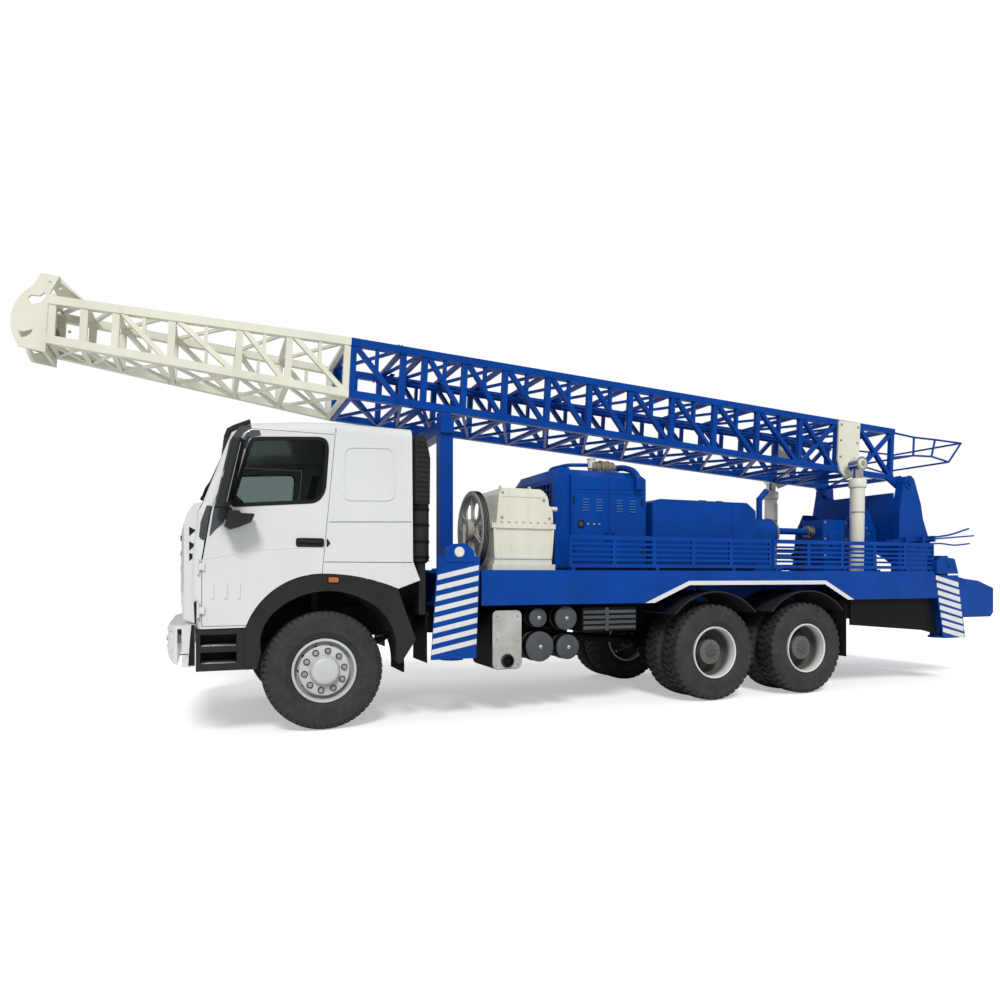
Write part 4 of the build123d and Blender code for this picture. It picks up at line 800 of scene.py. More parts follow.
def make_front_hub(side, way):
    """The plain cover plate, the nuts in their dark seats and the cap of a front hub."""
    nuts, seats, plate = shapes(3)
    out = ACROSS * way
    middle = at(0, way * FRONT_HUB_FACE, HUB_HEIGHT)
    for place in ring_of(0, way * (FRONT_HUB_FACE + 6), 181, 10, 0.14):
        add_turned(seats, [(0, 0), (0, 31), (4, 30), (5, 26), (3, 24), (3, 0)], place, out, 24)
        add_bolt(nuts, place + out * 0.003, out, 30, 24)
    add_turned(plate, [(-3, 140), (5, 140), (6, 150), (6, 216), (3, 225), (-6, 229), (-9, 226),
                       (-3, 214)], middle, out, 72, True)
    add_turned(plate, [(62, 116), (66, 119), (72, 112), (77, 98), (79, 60), (80, 0)], middle, out,
               64)
    body = "front_wheel_" + side
    finish_piece("front_nuts_" + side, nuts, STEEL, 0, body)
    finish_piece("front_nut_seats_" + side, seats, PLASTIC, 0, body, "chassis_black")
    finish_piece("front_hub_plate_" + side, plate, WHEEL, 0, body)


def make_twin_hub(axle, side, way):
    """Nuts, hub cap with its bolts and a rolled lip of one pair of rear wheels."""
    nuts, lip = shapes(2)
    x = WHEELS[axle][0]
    out = ACROSS * way
    for place in ring_of(x, way * TWIN_DISC, 170, 10, 0.3):
        add_bolt(nuts, place, out, 33, 30)
    for place in ring_of(x, way * TWIN_HUB_END, 82, 10, 0.2):
        add_bolt(nuts, place, out, 13, 7)
    add_turned(nuts, [(0, 64), (6, 63), (12, 54), (14, 30), (14, 0)],
               at(x, way * TWIN_HUB_END, HUB_HEIGHT), out, 40)
    add_turned(lip, [(0, 291), (6, 292.5), (10, 289), (10, 281), (5, 275), (-4, 272)],
               at(x, way * TWIN_LIP, HUB_HEIGHT), out, 72)
    body = axle + "_" + side
    finish_piece(axle + "_nuts_" + side, nuts, COVER, 0, body, "chassis_black")
    finish_piece(axle + "_lip_" + side, lip, STRIPE, 0, body, "rim_silver")


def make_hubs():
    """Every hub's nuts and caps."""
    for side, way in SIDES.items():
        make_front_hub(side, way)
        for axle in ("middle_wheels", "rear_wheels"):
            make_twin_hub(axle, side, way)


# Cab

def make_window_seal(side, way):
    """The black rubber round the door's window."""
    shape = bmesh.new()
    add_side_frame(shape, softened(grown(WINDOW, -14), 60), softened(grown(WINDOW, 20), 70),
                   way * 1240, way * 0.0125)
    finish_piece("window_seal_" + side, shape, SEAL, 2, "cab_door_" + side)


def make_door_handle(side, way):
    """The dark handle in its cup and the tab behind the door's edge."""
    shape, tail = shapes(2)
    cup = square((-268, -22), (1668, 1748))
    add_side_frame(shape, softened(grown(cup, -10), 22), softened(cup, 26), way * CAB_FACE,
                   way * 0.008)
    add_cab_plate(shape, softened(cup, 26), way, 0, 2.5)
    add_cab_plate(shape, softened([(-250, 1712), (-50, 1706), (-50, 1730), (-250, 1736)], 12),
                  way, 3, 25)
    add_cab_plate(tail, [(0, 1676), (8, 1670), (34, 1706), (8, 1744), (0, 1738)], way, 0, 7)
    finish_piece("door_handle_" + side, shape, PLASTIC, 3, "cab_door_" + side)
    finish_piece("handle_tail_" + side, tail, PLASTIC, 2)


def make_door_pressings(side, way):
    """The ribs low on the door and the long crease below the window."""
    shape = bmesh.new()
    for x in (-958, -850, -744):
        add_cab_plate(shape, softened(square((x - 15, x + 15), (1215, 1355)), 14), way, -1, 10)
    for start, end in (((-1020, 1552), (-560, 1640)), ((-560, 1640), (-60, 1668))):
        add_cab_plate(shape, strip(start, end, -3, 9), way, -1, 3.5)
    finish_piece("door_pressings_" + side, shape, WHITE, 5, "cab_door_" + side)


def make_cab_seams(side, way):
    """Panel seams of the sleeper and its pressed window shape."""
    seams, pressing = shapes(2)
    for outline in (strip((22, 1896), (788, 1918), -3, 3), strip((-18, 1536), (792, 1537), -3, 3),
                    square((80, 86), (2700, 2748))):
        add_cab_plate(seams, outline, way, 0, 1.8)
    outline = [(140, 2092), (628, 2108), (628, 2622), (140, 2596)]
    add_side_frame(pressing, softened(grown(outline, -26), 74, 8), softened(outline, 90, 8),
                   way * CAB_FACE, way * 0.009)
    finish_piece("cab_seams_" + side, seams, SEAL)
    finish_piece("sleeper_pressing_" + side, pressing, WHITE, 4)


def make_side_lamps(side, way):
    """The amber lamp on the front arch, in its bezel."""
    shape, bezel = shapes(2)
    add_cab_plate(shape, softened(square((16, 106), (1352, 1398)), 14), way, -1, 15)
    add_cab_plate(bezel, softened(square((6, 116), (1343, 1407)), 16), way, -2, 5)
    finish_piece("side_lamp_" + side, shape, AMBER, 3)
    finish_piece("side_lamp_bezel_" + side, bezel, SEAL, 2)


def make_mirror_parts(side, way):
    """Glass of the leaning mirror and of the one below it, its red band and its joint."""
    glass, band, joints = shapes(3)
    lean = Vector((0.1253, 0, 0.5766))
    near, far = at(-819, way * 1326, 1985), at(-856, way * 1470, 1985)
    out = Vector((180, way * 45, 0)).normalized() * 0.005
    add_prism(glass, [near + lean * 0.07, far + lean * 0.07, far + lean * 0.93,
                      near + lean * 0.93], out)
    low = [(-738, 1300, 1896), (-738, 1450, 1896), (-655, 1450, 1932), (-655, 1300, 1932)]
    add_prism(glass, [at(x, way * y, z) for x, y, z in low], UP * 0.006)
    ring = softened([(-948, 1305), (-928, 1472), (-859, 1486), (-812, 1305)], 26)
    add_prism(band, [at(x, way * y, 1985) + lean * 0.437 for x, y in ring], lean * 0.087)
    add_turned(joints, [(-12, 0), (-12, 30), (12, 30), (12, 0)], at(-830, way * 1370, 1972), UP,
               24)
    body = "cab_door_" + side
    finish_piece("mirror_glass_" + side, glass, MIRROR, 0, body)
    finish_piece("mirror_band_" + side, band, RED, 2, body)
    finish_piece("mirror_joints_" + side, joints, PLASTIC, 2, body)


def make_corner_covers(side, way):
    """Grey covers at the mirror's feet, on the door and the pillar, and the gap between them."""
    on_door, on_cab, gap = shapes(3)
    add_cab_plate(on_door, [(-940, 2012), (-826, 2018), (-828, 1958), (-868, 1863), (-934, 1801),
                            (-978, 1746), (-965, 1850)], way, -1, 9)
    add_cab_plate(on_cab, [(-1000, 2008), (-964, 2008), (-990, 1850), (-1004, 1730),
                           (-1030, 1712), (-1060, 1742), (-1046, 1868)], way, -1, 6)
    add_cab_plate(on_cab, [(-800, 2600), (-738, 2694), (-642, 2722), (-642, 2697), (-699, 2659),
                           (-745, 2562), (-762, 2524)], way, -7, 7)
    add_cab_plate(on_door, [(-725, 2552), (-684, 2642), (-638, 2677), (-572, 2677), (-560, 2634),
                            (-606, 2622), (-658, 2598), (-688, 2500)], way, -7, 7)
    add_pipe(on_door, [at(-748, way * 1400, 2500), at(-716, way * 1330, 2560),
                       at(-672, way * 1250, 2616)], 17, 40)
    edge = [(-968, 2000), (-1006, 1757), (-1040, 1560), (-1042, 1552)]
    for start, end in zip(edge, edge[1:]):
        add_cab_plate(gap, [start, end, (end[0] + 11, end[1]), (start[0] + 11, start[1])], way,
                      -1, 2.4)
    finish_piece("mirror_foot_" + side, on_door, COVER, 4, "cab_door_" + side)
    finish_piece("pillar_cover_" + side, on_cab, COVER, 3)
    finish_piece("door_gap_" + side, gap, SEAL)


def make_front_vents(side, way):
    """Three triangular vents on the slanted corner beside the grille, black plates of painted
    shade for their openings.
    """
    shape = bmesh.new()
    out = Vector((-1, way, 0)).normalized() * 0.003
    # Each vent is a thin black plate: painted shade for the opening behind it.
    for low, high in ((1752, 1832), (1628, 1706), (1540, 1608)):
        spots = [(-1136, high), (-1086, (low + high) / 2 + 10), (-1136, low)]
        add_prism(shape, [at(x, way * (x + 2240), z) - out for x, z in spots], out * 2)
    finish_piece("front_vent_shades_" + side, shape, SEAL)


def on_screen(y, share):
    """A place on the outside of the windscreen: share 0 is its foot."""
    return at(-1024 + 217 * share, y, 2095 + 517 * share)


def make_windscreen_parts():
    """The rubber round the windscreen, two wipers and the bars beside them."""
    seal, wipers = shapes(2)
    out = Vector((-0.922, 0, 0.387))

    def loop(width, low, high):
        """A round-cornered loop on the screen, half its width and its two heights given."""
        outline = softened(square((-width, width), (low, high)), 60)
        return [on_screen(y, up / SCREEN_LENGTH) for y, up in outline]

    add_frame(seal, loop(1030, 22, 538), loop(1062, -6, 566), out * 0.008)
    for y in (-780, 120):
        root, tip = on_screen(y, 0.02) + out * 0.02, on_screen(y + 330, 0.42) + out * 0.024
        add_rod(wipers, root - out * 0.02, root + out * 0.012, 18)
        add_pipe(wipers, [root, (root + tip) / 2 + out * 0.012, tip], 7, 60)
        foot, head = on_screen(y + 90, 0.08) + out * 0.014, on_screen(y + 480, 0.86) + out * 0.014
        add_pipe(wipers, [foot, (foot + head) / 2 + out * 0.004, head], 6, 60)
    finish_piece("windscreen_seal", seal, SEAL, 2)
    finish_piece("wipers", wipers, SEAL)


def make_head_lamps():
    """Bright rims and round glasses of the head lamps."""
    rims, bulbs = shapes(2)
    for way in (-1, 1):
        for y, radius in ((855, 52), (985, 56), (1080, 26)):
            centre = at(-1289, way * y, 860)
            add_turned(rims, [(0, radius + 6), (5, radius + 6), (7, radius), (2, radius - 6)],
                       centre, -BACK, 36)
            add_turned(bulbs, [(1, 0), (4, radius * 0.5), (6, radius * 0.94), (1, radius)],
                       centre, -BACK, 36)
    finish_piece("lamp_rims", rims, CHROME)
    finish_piece("lamp_glasses", bulbs, CLEAR)


def make_bumper_parts():
    """The split lines, the slot's bars and the tow pins of the bumper."""
    lines, pins = shapes(2)
    for way in (-1, 1):
        add_cab_plate(lines, square((-1212, -1142), (748, 756)), way, -3, 0)
        add_cab_plate(lines, [(-1143, 655), (-1092, 655), (-1092, 998), (-1118, 998),
                              (-1130, 870)], way, -4, 0.5)
        add_cab_plate(lines, [(-1094, 1008), (-1080, 1008), (-1080, 1205), (-1100, 1186)], way,
                      -11, 1.5)
        add_rod(pins, at(-1345, way * 430, 830), at(-1235, way * 430, 830), 24)
    for z in (790, 830, 870):
        add_slab(lines, (-1262, -1240), (-556, 556), (z - 6, z + 6))
    finish_piece("bumper_lines", lines, SEAL)
    finish_piece("tow_pins", pins, STEEL)


def make_grille_mesh():
    """Fine upright bars in front of the grille's panel."""
    shape = bmesh.new()
    for y in range(-798, 799, 21):
        foot = 1120 + max(0, abs(y) - 640) * 4
        if foot <= 1760:
            add_slab(shape, (-1168, -1150), (y - 4, y + 4), (foot + 8, 1832))
    finish_piece("grille_mesh", shape, PLASTIC)


def make_cab_steps(side, way):
    """Slotted tread plates of the entry steps."""
    shape = bmesh.new()
    for z, first, pitch in ((660, 980, 42), (810, 1010, 38)):
        for number in range(6):
            y = first + number * pitch
            add_slab(shape, (-1045, -765), (way * y, way * (y + 22)), (z, z + 7))
    finish_piece("step_treads_" + side, shape, STEEL, 1)


def make_intake_parts():
    """Louvres of the air intake and the bands of its canister."""
    fins, bands = shapes(2)
    back = [(985, 2100), (990, 2521), (962, 2643), (930, 2750)]
    for z in range(2122, 2687, 47):
        for start, end in zip(back, back[1:]):
            if start[1] <= z + 20 <= end[1]:
                share = (z + 20 - start[1]) / (end[1] - start[1])
                x = start[0] + (end[0] - start[0]) * share - 12
        add_side_plate(fins, [(850, z), (x, z), (x - 3, z + 22), (853, z + 22)], (-1199, -1209))
    for z in (1590, 1740, 1900, 2050):
        add_band(bands, at(915, -1080, z), UP, 13, 84, 91)
    add_turned(bands, [(0, 0), (0, 74), (12, 70), (22, 36), (22, 0)], at(915, -1080, 1550), -UP)
    finish_piece("intake_louvres", fins, PLASTIC, 2)
    finish_piece("canister_bands", bands, BLACK, slot="grey_iron")


def make_cab():
    """All the cab's fittings."""
    for side, way in SIDES.items():
        for make in (make_window_seal, make_door_handle, make_door_pressings, make_cab_seams,
                     make_side_lamps, make_mirror_parts, make_corner_covers, make_front_vents,
                     make_cab_steps):
            make(side, way)
    make_windscreen_parts()
    make_head_lamps()
    make_bumper_parts()
    make_grille_mesh()
    make_intake_parts()


# Deck

def make_jack_stripes(side, way):
    """White slanted stripes on the front and rear jack panels."""
    shape = bmesh.new()
    y = (way * DECK_FACE, way * (DECK_FACE + 4))
    for number in range(8):
        share = number / 7
        left, right = 1038 - 60 * share, 1459 - 22 * share
        low, high = 1420 - 713 * share, 1517 - 718 * share
        add_side_plate(shape, [(left, low - 50), (right - 2, high - 50), (right, high),
                               (left + 3, low)], y)
    for number in range(8):
        high = 1376 - number * 98
        left = 7830 + (1420 - high) * 160 / 830 + 6
        right = 8270 + (1420 - high) * 140 / 830 - 2
        add_side_plate(shape, [(left, high - 14), (right, high - 116), (right, high - 52),
                               (left, high + 44)], y)
    finish_piece("jack_stripes_" + side, shape, STRIPE)


def make_deck_stripe(side, way):
    """The white line that follows the deck's edge over the rear wheels."""
    shape = bmesh.new()
    edge = [(3490, 1120), (3950, 1310), (5930, 1310), (6300, 1120)]
    above = [(3370, 1120), (3941, 1356), (5941, 1356), (6400, 1120)]
    for index in range(3):
        add_side_plate(shape, edge[index:index + 2] + above[index:index + 2][::-1],
                       (way * (DECK_FACE - 1), way * (DECK_FACE + 3)))
    finish_piece("deck_stripe_" + side, shape, STRIPE)


def make_jack_eyes(side, way):
    """The pinned lugs on the jack panels: a cream eye in front, a blue one behind."""
    lugs, eye, rear_eye = shapes(3)
    front = [(1115, 1546), (1115, 1669), (1185, 1718), (1317, 1729), (1410, 1653), (1410, 1546)]
    rear = [(7850, 1440), (7850, 1600), (7960, 1665), (8190, 1640), (8262, 1440)]
    for outline in (front, rear):
        add_side_plate(lugs, softened(outline, 16, 3),
                       (way * (DECK_FACE - 26), way * (DECK_FACE + 14)))
    for shape, x, z in ((eye, 1256, 1642), (rear_eye, 8100, 1570)):
        add_turned(shape, [(0, 0), (0, 50), (8, 49), (14, 42), (15, 20), (11, 14), (11, 0)],
                   at(x, way * (DECK_FACE + 14), z), ACROSS * way, 36)
    finish_piece("jack_lugs_" + side, lugs, BLUE, 5)
    finish_piece("front_jack_eye_" + side, eye, CREAM)
    finish_piece("rear_jack_eye_" + side, rear_eye, BLUE)


def make_flaps():
    """Rubber flaps behind the wheels and the liner that ends each front arch."""
    flaps, liner = shapes(2)
    turns = [math.radians(26 - 5 * step) for step in range(7)]
    outline = [(radius * math.cos(turn), HUB_HEIGHT + radius * math.sin(turn))
               for radius, run in ((735, turns), (748, turns[::-1])) for turn in run]
    for way in (-1, 1):
        add_slab(flaps, (6290, 6298), (way * 640, way * 1230), (420, 1060))
        add_slab(flaps, (966, 974), (way * 640, way * 1130), (570, 1060))
        add_rod(flaps, at(978, way * 430, 1040), at(978, way * 1126, 1040), 14)
        add_side_plate(liner, outline, (way * 640, way * 1130))
    finish_piece("mud_flaps", flaps, SEAL, 2)
    finish_piece("front_arch_liners", liner, SEAL)


def make_silencer_parts():
    """The silencer's pale cover with its screws, its outlet ring and the dark bore, a black disc
    of painted shade for the pipe's inside.
    """
    cover, ring, bore, screws = shapes(4)
    add_side_plate(cover, softened(square((1623, 1937), (484, 1067)), 62, 8), (-1196, -1207))
    add_turned(ring, [(0, 70), (5, 70), (5, 60), (30, 60), (34, 56), (31, 49), (0, 49)],
               at(*SILENCER_BORE), -ACROSS, 48, True)
    # A thin black disc closes the outlet: painted shade standing for the deep inside of the pipe.
    add_turned(bore, [(0, 0), (0, 48.5), (2, 48.5), (2, 0)], at(*SILENCER_BORE), -ACROSS)
    for x, z in ((1668, 1010), (1893, 1006), (1662, 520), (1900, 520), (1664, 780), (1896, 772)):
        add_bolt(screws, at(x, -1207, z), -ACROSS, 14, 6)
    finish_piece("silencer_cover", cover, SILVER, 6)
    finish_piece("silencer_outlet", ring, COVER, slot="grey_iron")
    finish_piece("silencer_bore_shade", bore, BLACK)
    finish_piece("silencer_screws", screws, STEEL)


def make_air_tank_ends():
    """Domed ends, rims and drain plugs of the air tanks."""
    domes, plugs = shapes(2)
    for x, z, radius in ((2131, 985, 92), (2450, 975, 120), (2150, 690, 150), (2470, 675, 124)):
        centre = at(x, -1180, z)
        add_turned(domes, [(-20, radius + 4), (4, radius + 4), (8, radius - 2), (14, radius * 0.8),
                           (22, radius * 0.45), (25, 0)], centre, -ACROSS, 48)
        for y in (-1050, -760):
            add_band(domes, at(x, y, z), -ACROSS, 18, radius + 1, radius + 6, 48)
        add_bolt(plugs, centre - ACROSS * 0.022, -ACROSS, 30, 14)
    finish_piece("air_tank_ends", domes, COVER, slot="chassis_black")
    finish_piece("air_tank_plugs", plugs, STEEL)


def make_battery_ribs():
    """The ribbed cover and the strap of the battery box."""
    shape = bmesh.new()
    for z in (850, 905, 960, 1015):
        add_side_plate(shape, [(2640, z), (3280, z), (3274, z + 34), (2646, z + 34)],
                       (BATTERY_FACE, BATTERY_FACE - 12))
    add_slab(shape, (2900, 2940), (BATTERY_FACE, BATTERY_FACE - 20), (832, 1078))
    finish_piece("battery_ribs", shape, COVER, 5)


def make_deck_parts():
    """Everything that is fixed to the deck's sides and hangs below it."""
    for side, way in SIDES.items():
        make_jack_stripes(side, way)
        make_deck_stripe(side, way)
        make_jack_eyes(side, way)
    make_flaps()
    make_silencer_parts()
    make_air_tank_ends()
    make_battery_ribs()


# Machinery on the deck

def make_pump_parts():
    """Bolts, ribs and lifting eyes of the mud pump."""
    bolts, ribs = shapes(2)
    for number in range(9):
        add_bolt(bolts, at(1704 + number * 81, PUMP_FACE - 12, 1950), UP, 24, 13)
    for low, high in ((1712, 1702), (2338, 2362)):
        add_side_plate(ribs, [(low - 12, 1590), (low + 12, 1590), (high + 12, 1896),
                              (high - 12, 1896)], (PUMP_FACE - 8, PUMP_FACE - 24))
    add_side_plate(ribs, square((1704, 2348), (1584, 1612)), (PUMP_FACE - 8, PUMP_FACE - 20))
    for x in (1850, 2180):
        add_turned(ribs, [(-9, 34), (9, 34), (9, 20), (-9, 20)], at(x, -850, 2326), BACK, 28, True)
    for x, z in ((1790, 2010), (2330, 2010), (1800, 2262), (2262, 2200)):
        add_bolt(bolts, at(x, PUMP_FACE, z), -ACROSS, 22, 10)
    add_side_plate(ribs, softened([(1786, 2222), (2258, 2222), (2240, 2276), (1806, 2276)], 10),
                   (PUMP_FACE + 1, PUMP_FACE - 6))
    finish_piece("pump_bolts", bolts, STEEL)
    finish_piece("pump_ribs", ribs, CREAM, 4)


def make_sheave_parts():
    """V-belts in the big pulley's grooves, its hub, the ribs of its spokes and its rim ring."""
    belts, hub = shapes(2)
    y, z = PULLEY_CENTRE
    for x in (1556, 1572, 1588, 1604):
        add_turned(belts, [(-6, 396), (-5, 405), (5, 405), (6, 396)], at(x, y, z), BACK, 84, True)
    add_turned(hub, [(0, 60), (0, 88), (10, 84), (22, 66), (22, 60)], at(1540, y, z), -BACK, 40,
               True)
    for across, up in circle(6, 1, math.tau / 12):
        add_rod(hub, at(1566, y + 96 * across, z + 96 * up),
                at(1566, y + 336 * across, z + 336 * up), 10, 12)
    add_turned(hub, [(0, 358), (0, 392), (5, 390), (5, 360)], at(1545, y, z), -BACK, 84, True)
    finish_piece("drive_belts", belts, SEAL)
    finish_piece("pulley_hub", hub, PULLEY)


def make_canopy_parts():
    """Louvres, gauge, knobs, handles and the raised bands of the engine canopy."""
    fins, dials, band, face, knobs = shapes(5)
    y = CANOPY_FACE
    for x in (2798, 2964, 3222, 3392):
        for z in range(2122, 2243, 30):
            add_prism(fins, [at(x, y, z), at(x, y - 12, z - 2), at(x, y, z + 16)], BACK * 0.078)
    gauge = at(2779, y, 1977)
    add_turned(face, [(3, 0), (3, 30), (5, 30), (5, 0)], gauge, -ACROSS, 32)
    add_turned(dials, [(0, 0), (0, 44), (10, 44), (12, 36), (3, 34)], gauge, -ACROSS, 32)
    for x in (2866, 2941, 3004):
        add_turned(knobs, [(0, 0), (0, 13), (9, 12), (12, 8), (12, 0)], at(x, y, 1977), -ACROSS,
                   24)
    for x in (3088, 3176):
        add_pipe(dials, [at(x, y, 1780), at(x, y - 30, 1780), at(x, y - 30, 1880), at(x, y, 1880)],
                 6, 14)
    for x in (2690, 3560):
        for z in (1700, 2240):
            add_rod(dials, at(x, y - 6, z - 40), at(x, y - 6, z + 40), 10)
    for low, high in (((2664, 2350), (3124, 2366)), ((3140, 2366), (3606, 2382))):
        add_side_plate(band, strip(low, high, 0, 10), (y + 1, y - 6))
    for ends in ((2676, 3118), (3146, 3596)):
        door = square(ends, (1540, 2330))
        add_side_frame(band, softened(grown(door, -12), 14), softened(door, 20), y + 1, -0.005)
    # The louvres take the lighter blue: a painted highlight where the sun catches them.
    finish_piece("canopy_louvres", fins, HIGHLIGHT_BLUE, 1)
    finish_piece("canopy_dials", dials, SEAL)
    finish_piece("canopy_gauge_face", face, COVER)
    finish_piece("canopy_knobs", knobs, STEEL)
    finish_piece("canopy_doors", band, BLUE, 2)


def make_radiator():
    """Core fins and a guard inside the radiator's cowl."""
    core, guard = shapes(2)
    for number in range(56):
        y = -776 + number * 16.3
        add_slab(core, (2488, 2504), (y, y + 5), (1604, 2416))
    for z in range(1640, 2420, 60):
        add_rod(guard, at(2484, -782, z), at(2484, 132, z), 5, 10)
    for y in range(-740, 130, 90):
        add_rod(guard, at(2482, y, 1602), at(2482, y, 2418), 5, 10)
    finish_piece("radiator_core", core, BLACK, slot="grey_iron")
    finish_piece("radiator_guard", guard, BLUE)


def make_exhaust_parts():
    """Clamps of the turbocharger, its cream neck and the blue pipe down the canopy."""
    bands, neck, pipes = shapes(3)
    y, z = TURBO_AXIS
    for x, radius in ((3122, 62), (3180, 62), (3232, 76), (3328, 76), (3390, 62)):
        add_band(bands, at(x, y, z), BACK, 7, radius - 3, radius + 8)
    for x in (3200, 3360):
        for side in (-65, 65):
            add_bolt(bands, at(x, y + side, 2612), UP, 22, 12)
    add_turned(neck, [(-4, 38), (-4, 46), (92, 44), (98, 52), (110, 52), (110, 38)],
               at(3120, y, 2655), UP, 36, True)
    add_pipe(pipes, [at(3450, y, z), at(3486, -620, z), at(3486, -830, 2606),
                     at(3486, -936, 2520), at(3486, -936, 2380)], 36, 90)
    add_band(pipes, at(3486, -936, 2392), UP, 14, 36, 48, 32)
    add_slab(pipes, (3470, 3502), (-940, -898), (2384, 2402))
    add_pipe(pipes, [at(2700, -300, 2590), at(2700, -300, 2650), at(2860, -430, 2690),
                     at(3112, y, 2690)], 22, 60)
    finish_piece("exhaust_clamps", bands, STEEL)
    finish_piece("exhaust_neck", neck, CREAM)
    finish_piece("canopy_pipes", pipes, BLUE)


def make_tank_parts():
    """The weld seams and filler caps of the fuel tank."""
    seams, caps = shapes(2)
    add_side_plate(seams, square((4832, 4842), (1502, 2288)), (-899, -904))
    add_side_plate(seams, [(3706, 2246), (3800, 2284), (5048, 2284), (5048, 2292), (3798, 2292),
                           (3704, 2254)], (-899, -903))
    for x in (4700, 4960):
        add_turned(caps, [(0, 0), (0, 66), (14, 66), (20, 60), (22, 0)], at(x, -500, 2318), UP, 36)
        add_slab(caps, (x - 50, x + 50), (-508, -492), (2338, 2352))
    finish_piece("tank_seams", seams, BLUE, 2)
    finish_piece("tank_cap", caps, IRON, 2)


def make_gearbox_parts():
    """Flange bolts, joints of the cross shaft and the valve levers."""
    bolts, joints, levers = shapes(3)
    y, z = GEARBOX_AXIS
    for x, way in ((5330, -1), (5780, 1)):
        add_band(joints, at(x, y, z), BACK, 14, 150, 200, 48)
        for across, up in circle(12, 176):
            add_bolt(bolts, at(x + 14 * way, y + across, z + up), BACK * way, 20, 10)
    for x in (5860, 6470):
        add_turned(joints, [(-50, 0), (-50, 74), (-36, 74), (-30, 50), (30, 50), (36, 74),
                            (50, 74), (50, 0)], at(x, y, SHAFT_HEIGHT), BACK, 36)
        add_rod(joints, at(x, y - 78, SHAFT_HEIGHT), at(x, y + 78, SHAFT_HEIGHT), 22)
        add_rod(joints, at(x, y, SHAFT_HEIGHT - 78), at(x, y, SHAFT_HEIGHT + 78), 22)
    add_slab(levers, (5990, 6180), (-760, -640), (1620, 1700))
    add_slab(levers, (6040, 6130), (-730, -670), (1470, 1620))
    for x in (6012, 6055, 6098, 6141):
        add_rod(levers, at(x, -720, 1700), at(x - 12, -745, 1850), 7)
        add_turned(levers, [(0, 0), (4, 14), (16, 18), (28, 14), (32, 0)], at(x - 12, -745, 1848),
                   Vector((0, -0.15, 1)), 18)
    finish_piece("gearbox_bolts", bolts, STEEL)
    finish_piece("shaft_joints", joints, IRON, 2)
    finish_piece("valve_levers", levers, BLACK, 2)


def on_winch(back, y, up):
    """A place beside the winch drum's axis."""
    return at(WINCH_AXIS[0] + back, y, WINCH_AXIS[1] + up)


def make_winch_parts():
    """Rope turns and ribs on the drum's flanges."""
    rope, ribs = shapes(2)
    profile = []
    for turn in range(37):
        middle = -388 + turn * 21.5
        for step in range(5):
            angle = math.pi * step / 4
            profile.append((middle - 10.6 * math.cos(angle), 208 + 9 * math.sin(angle)))
    add_turned(rope, profile, on_winch(0, 0, 0), ACROSS, 64)
    for way in (-1, 1):
        for back, up in circle(8, 1):
            add_rod(ribs, on_winch(80 * back, way * 430, 80 * up),
                    on_winch(280 * back, way * 430, 280 * up), 10, 10)
        add_turned(ribs, [(0, 286), (10, 286), (10, 300), (0, 300)], on_winch(0, way * 424, 0),
                   ACROSS * way, 64, True)
    finish_piece("rope_turns", rope, ROPE, 0, "winch")
    finish_piece("drum_ribs", ribs, BLUE, 0, "winch")


def make_brake_parts():
    """The brake bands' ends, bearing housings and bolts of the winch's frame."""
    shape, bolts = shapes(2)
    for way in (-1, 1):
        out = ACROSS * way
        add_turned(shape, [(0, 64), (0, 108), (22, 104), (30, 84), (30, 64)],
                   on_winch(0, way * 480, 0), out, 40, True)
        for back, up in circle(6, 92):
            add_bolt(bolts, on_winch(back, way * 504, up), out, 20, 10)
        for start, end in (((7160, 1560), (7240, 2040)), ((7640, 1560), (7600, 2040))):
            add_rod(shape, at(start[0], way * 490, start[1]), at(end[0], way * 490, end[1]), 12)
    for x in (6590, 6960):
        for z in (1680, 1900, 2120):
            add_bolt(bolts, at(x, -620, z), -ACROSS, 22, 10)
    add_turned(shape, [(0, 0), (0, 130), (18, 126), (26, 90), (26, 0)], at(6775, -620, 1900),
               -ACROSS)
    finish_piece("winch_bearings", shape, BLUE, 2)
    finish_piece("winch_bolts", bolts, STEEL)


def make_rear_levers():
    """The blue bars that reach back past the rear frame, on their clamps."""
    shape = bmesh.new()
    add_pipe(shape, [at(7480, -800, 1876), at(8420, -800, 1952), at(8740, -800, 1990),
                     at(9180, -760, 2092)], 13, 120)
    add_pipe(shape, [at(7480, -830, 1855), at(8440, -828, 1930), at(9200, -820, 1988)], 11, 200)
    add_pipe(shape, [at(7480, -856, 1824), at(8500, -852, 1866), at(8740, -850, 1838),
                     at(9080, -840, 1872)], 11, 120)
    for x in (7800, 8120, 8330):
        z = 1862 + (x - 7300) * 0.0804
        add_slab(shape, (x - 20, x + 20), (-872, -768), (z - 62, z + 22))
    finish_piece("rear_levers", shape, BLUE)


def make_rear_frame_parts():
    """Pin caps and edge strips of the frame that carries the mast."""
    caps, strips = shapes(2)
    pin_x, pin_z = MAST_PIN
    edge = [(8000, 2790), (8060, 2740), (8190, 2400), (8230, 2200), (8400, 1800), (8460, 1500)]
    for way in (-1, 1):
        add_turned(caps, [(0, 0), (0, 92), (8, 92), (12, 84), (12, 0)],
                   at(pin_x, way * 771, pin_z), ACROSS * way)
        for back, up in circle(4, 55):
            add_bolt(caps, at(pin_x + back, way * 783, pin_z + up), ACROSS * way, 20, 9)
        for (x0, z0), (x1, z1) in zip(edge, edge[1:]):
            add_side_plate(strips, [(x0, z0), (x1, z1), (x1 + 8, z1 + 4), (x0 + 8, z0 + 4)],
                           (way * 660, way * 770))
    finish_piece("mast_pin_caps", caps, BLUE)
    finish_piece("rear_frame_strips", strips, BLUE, 2)


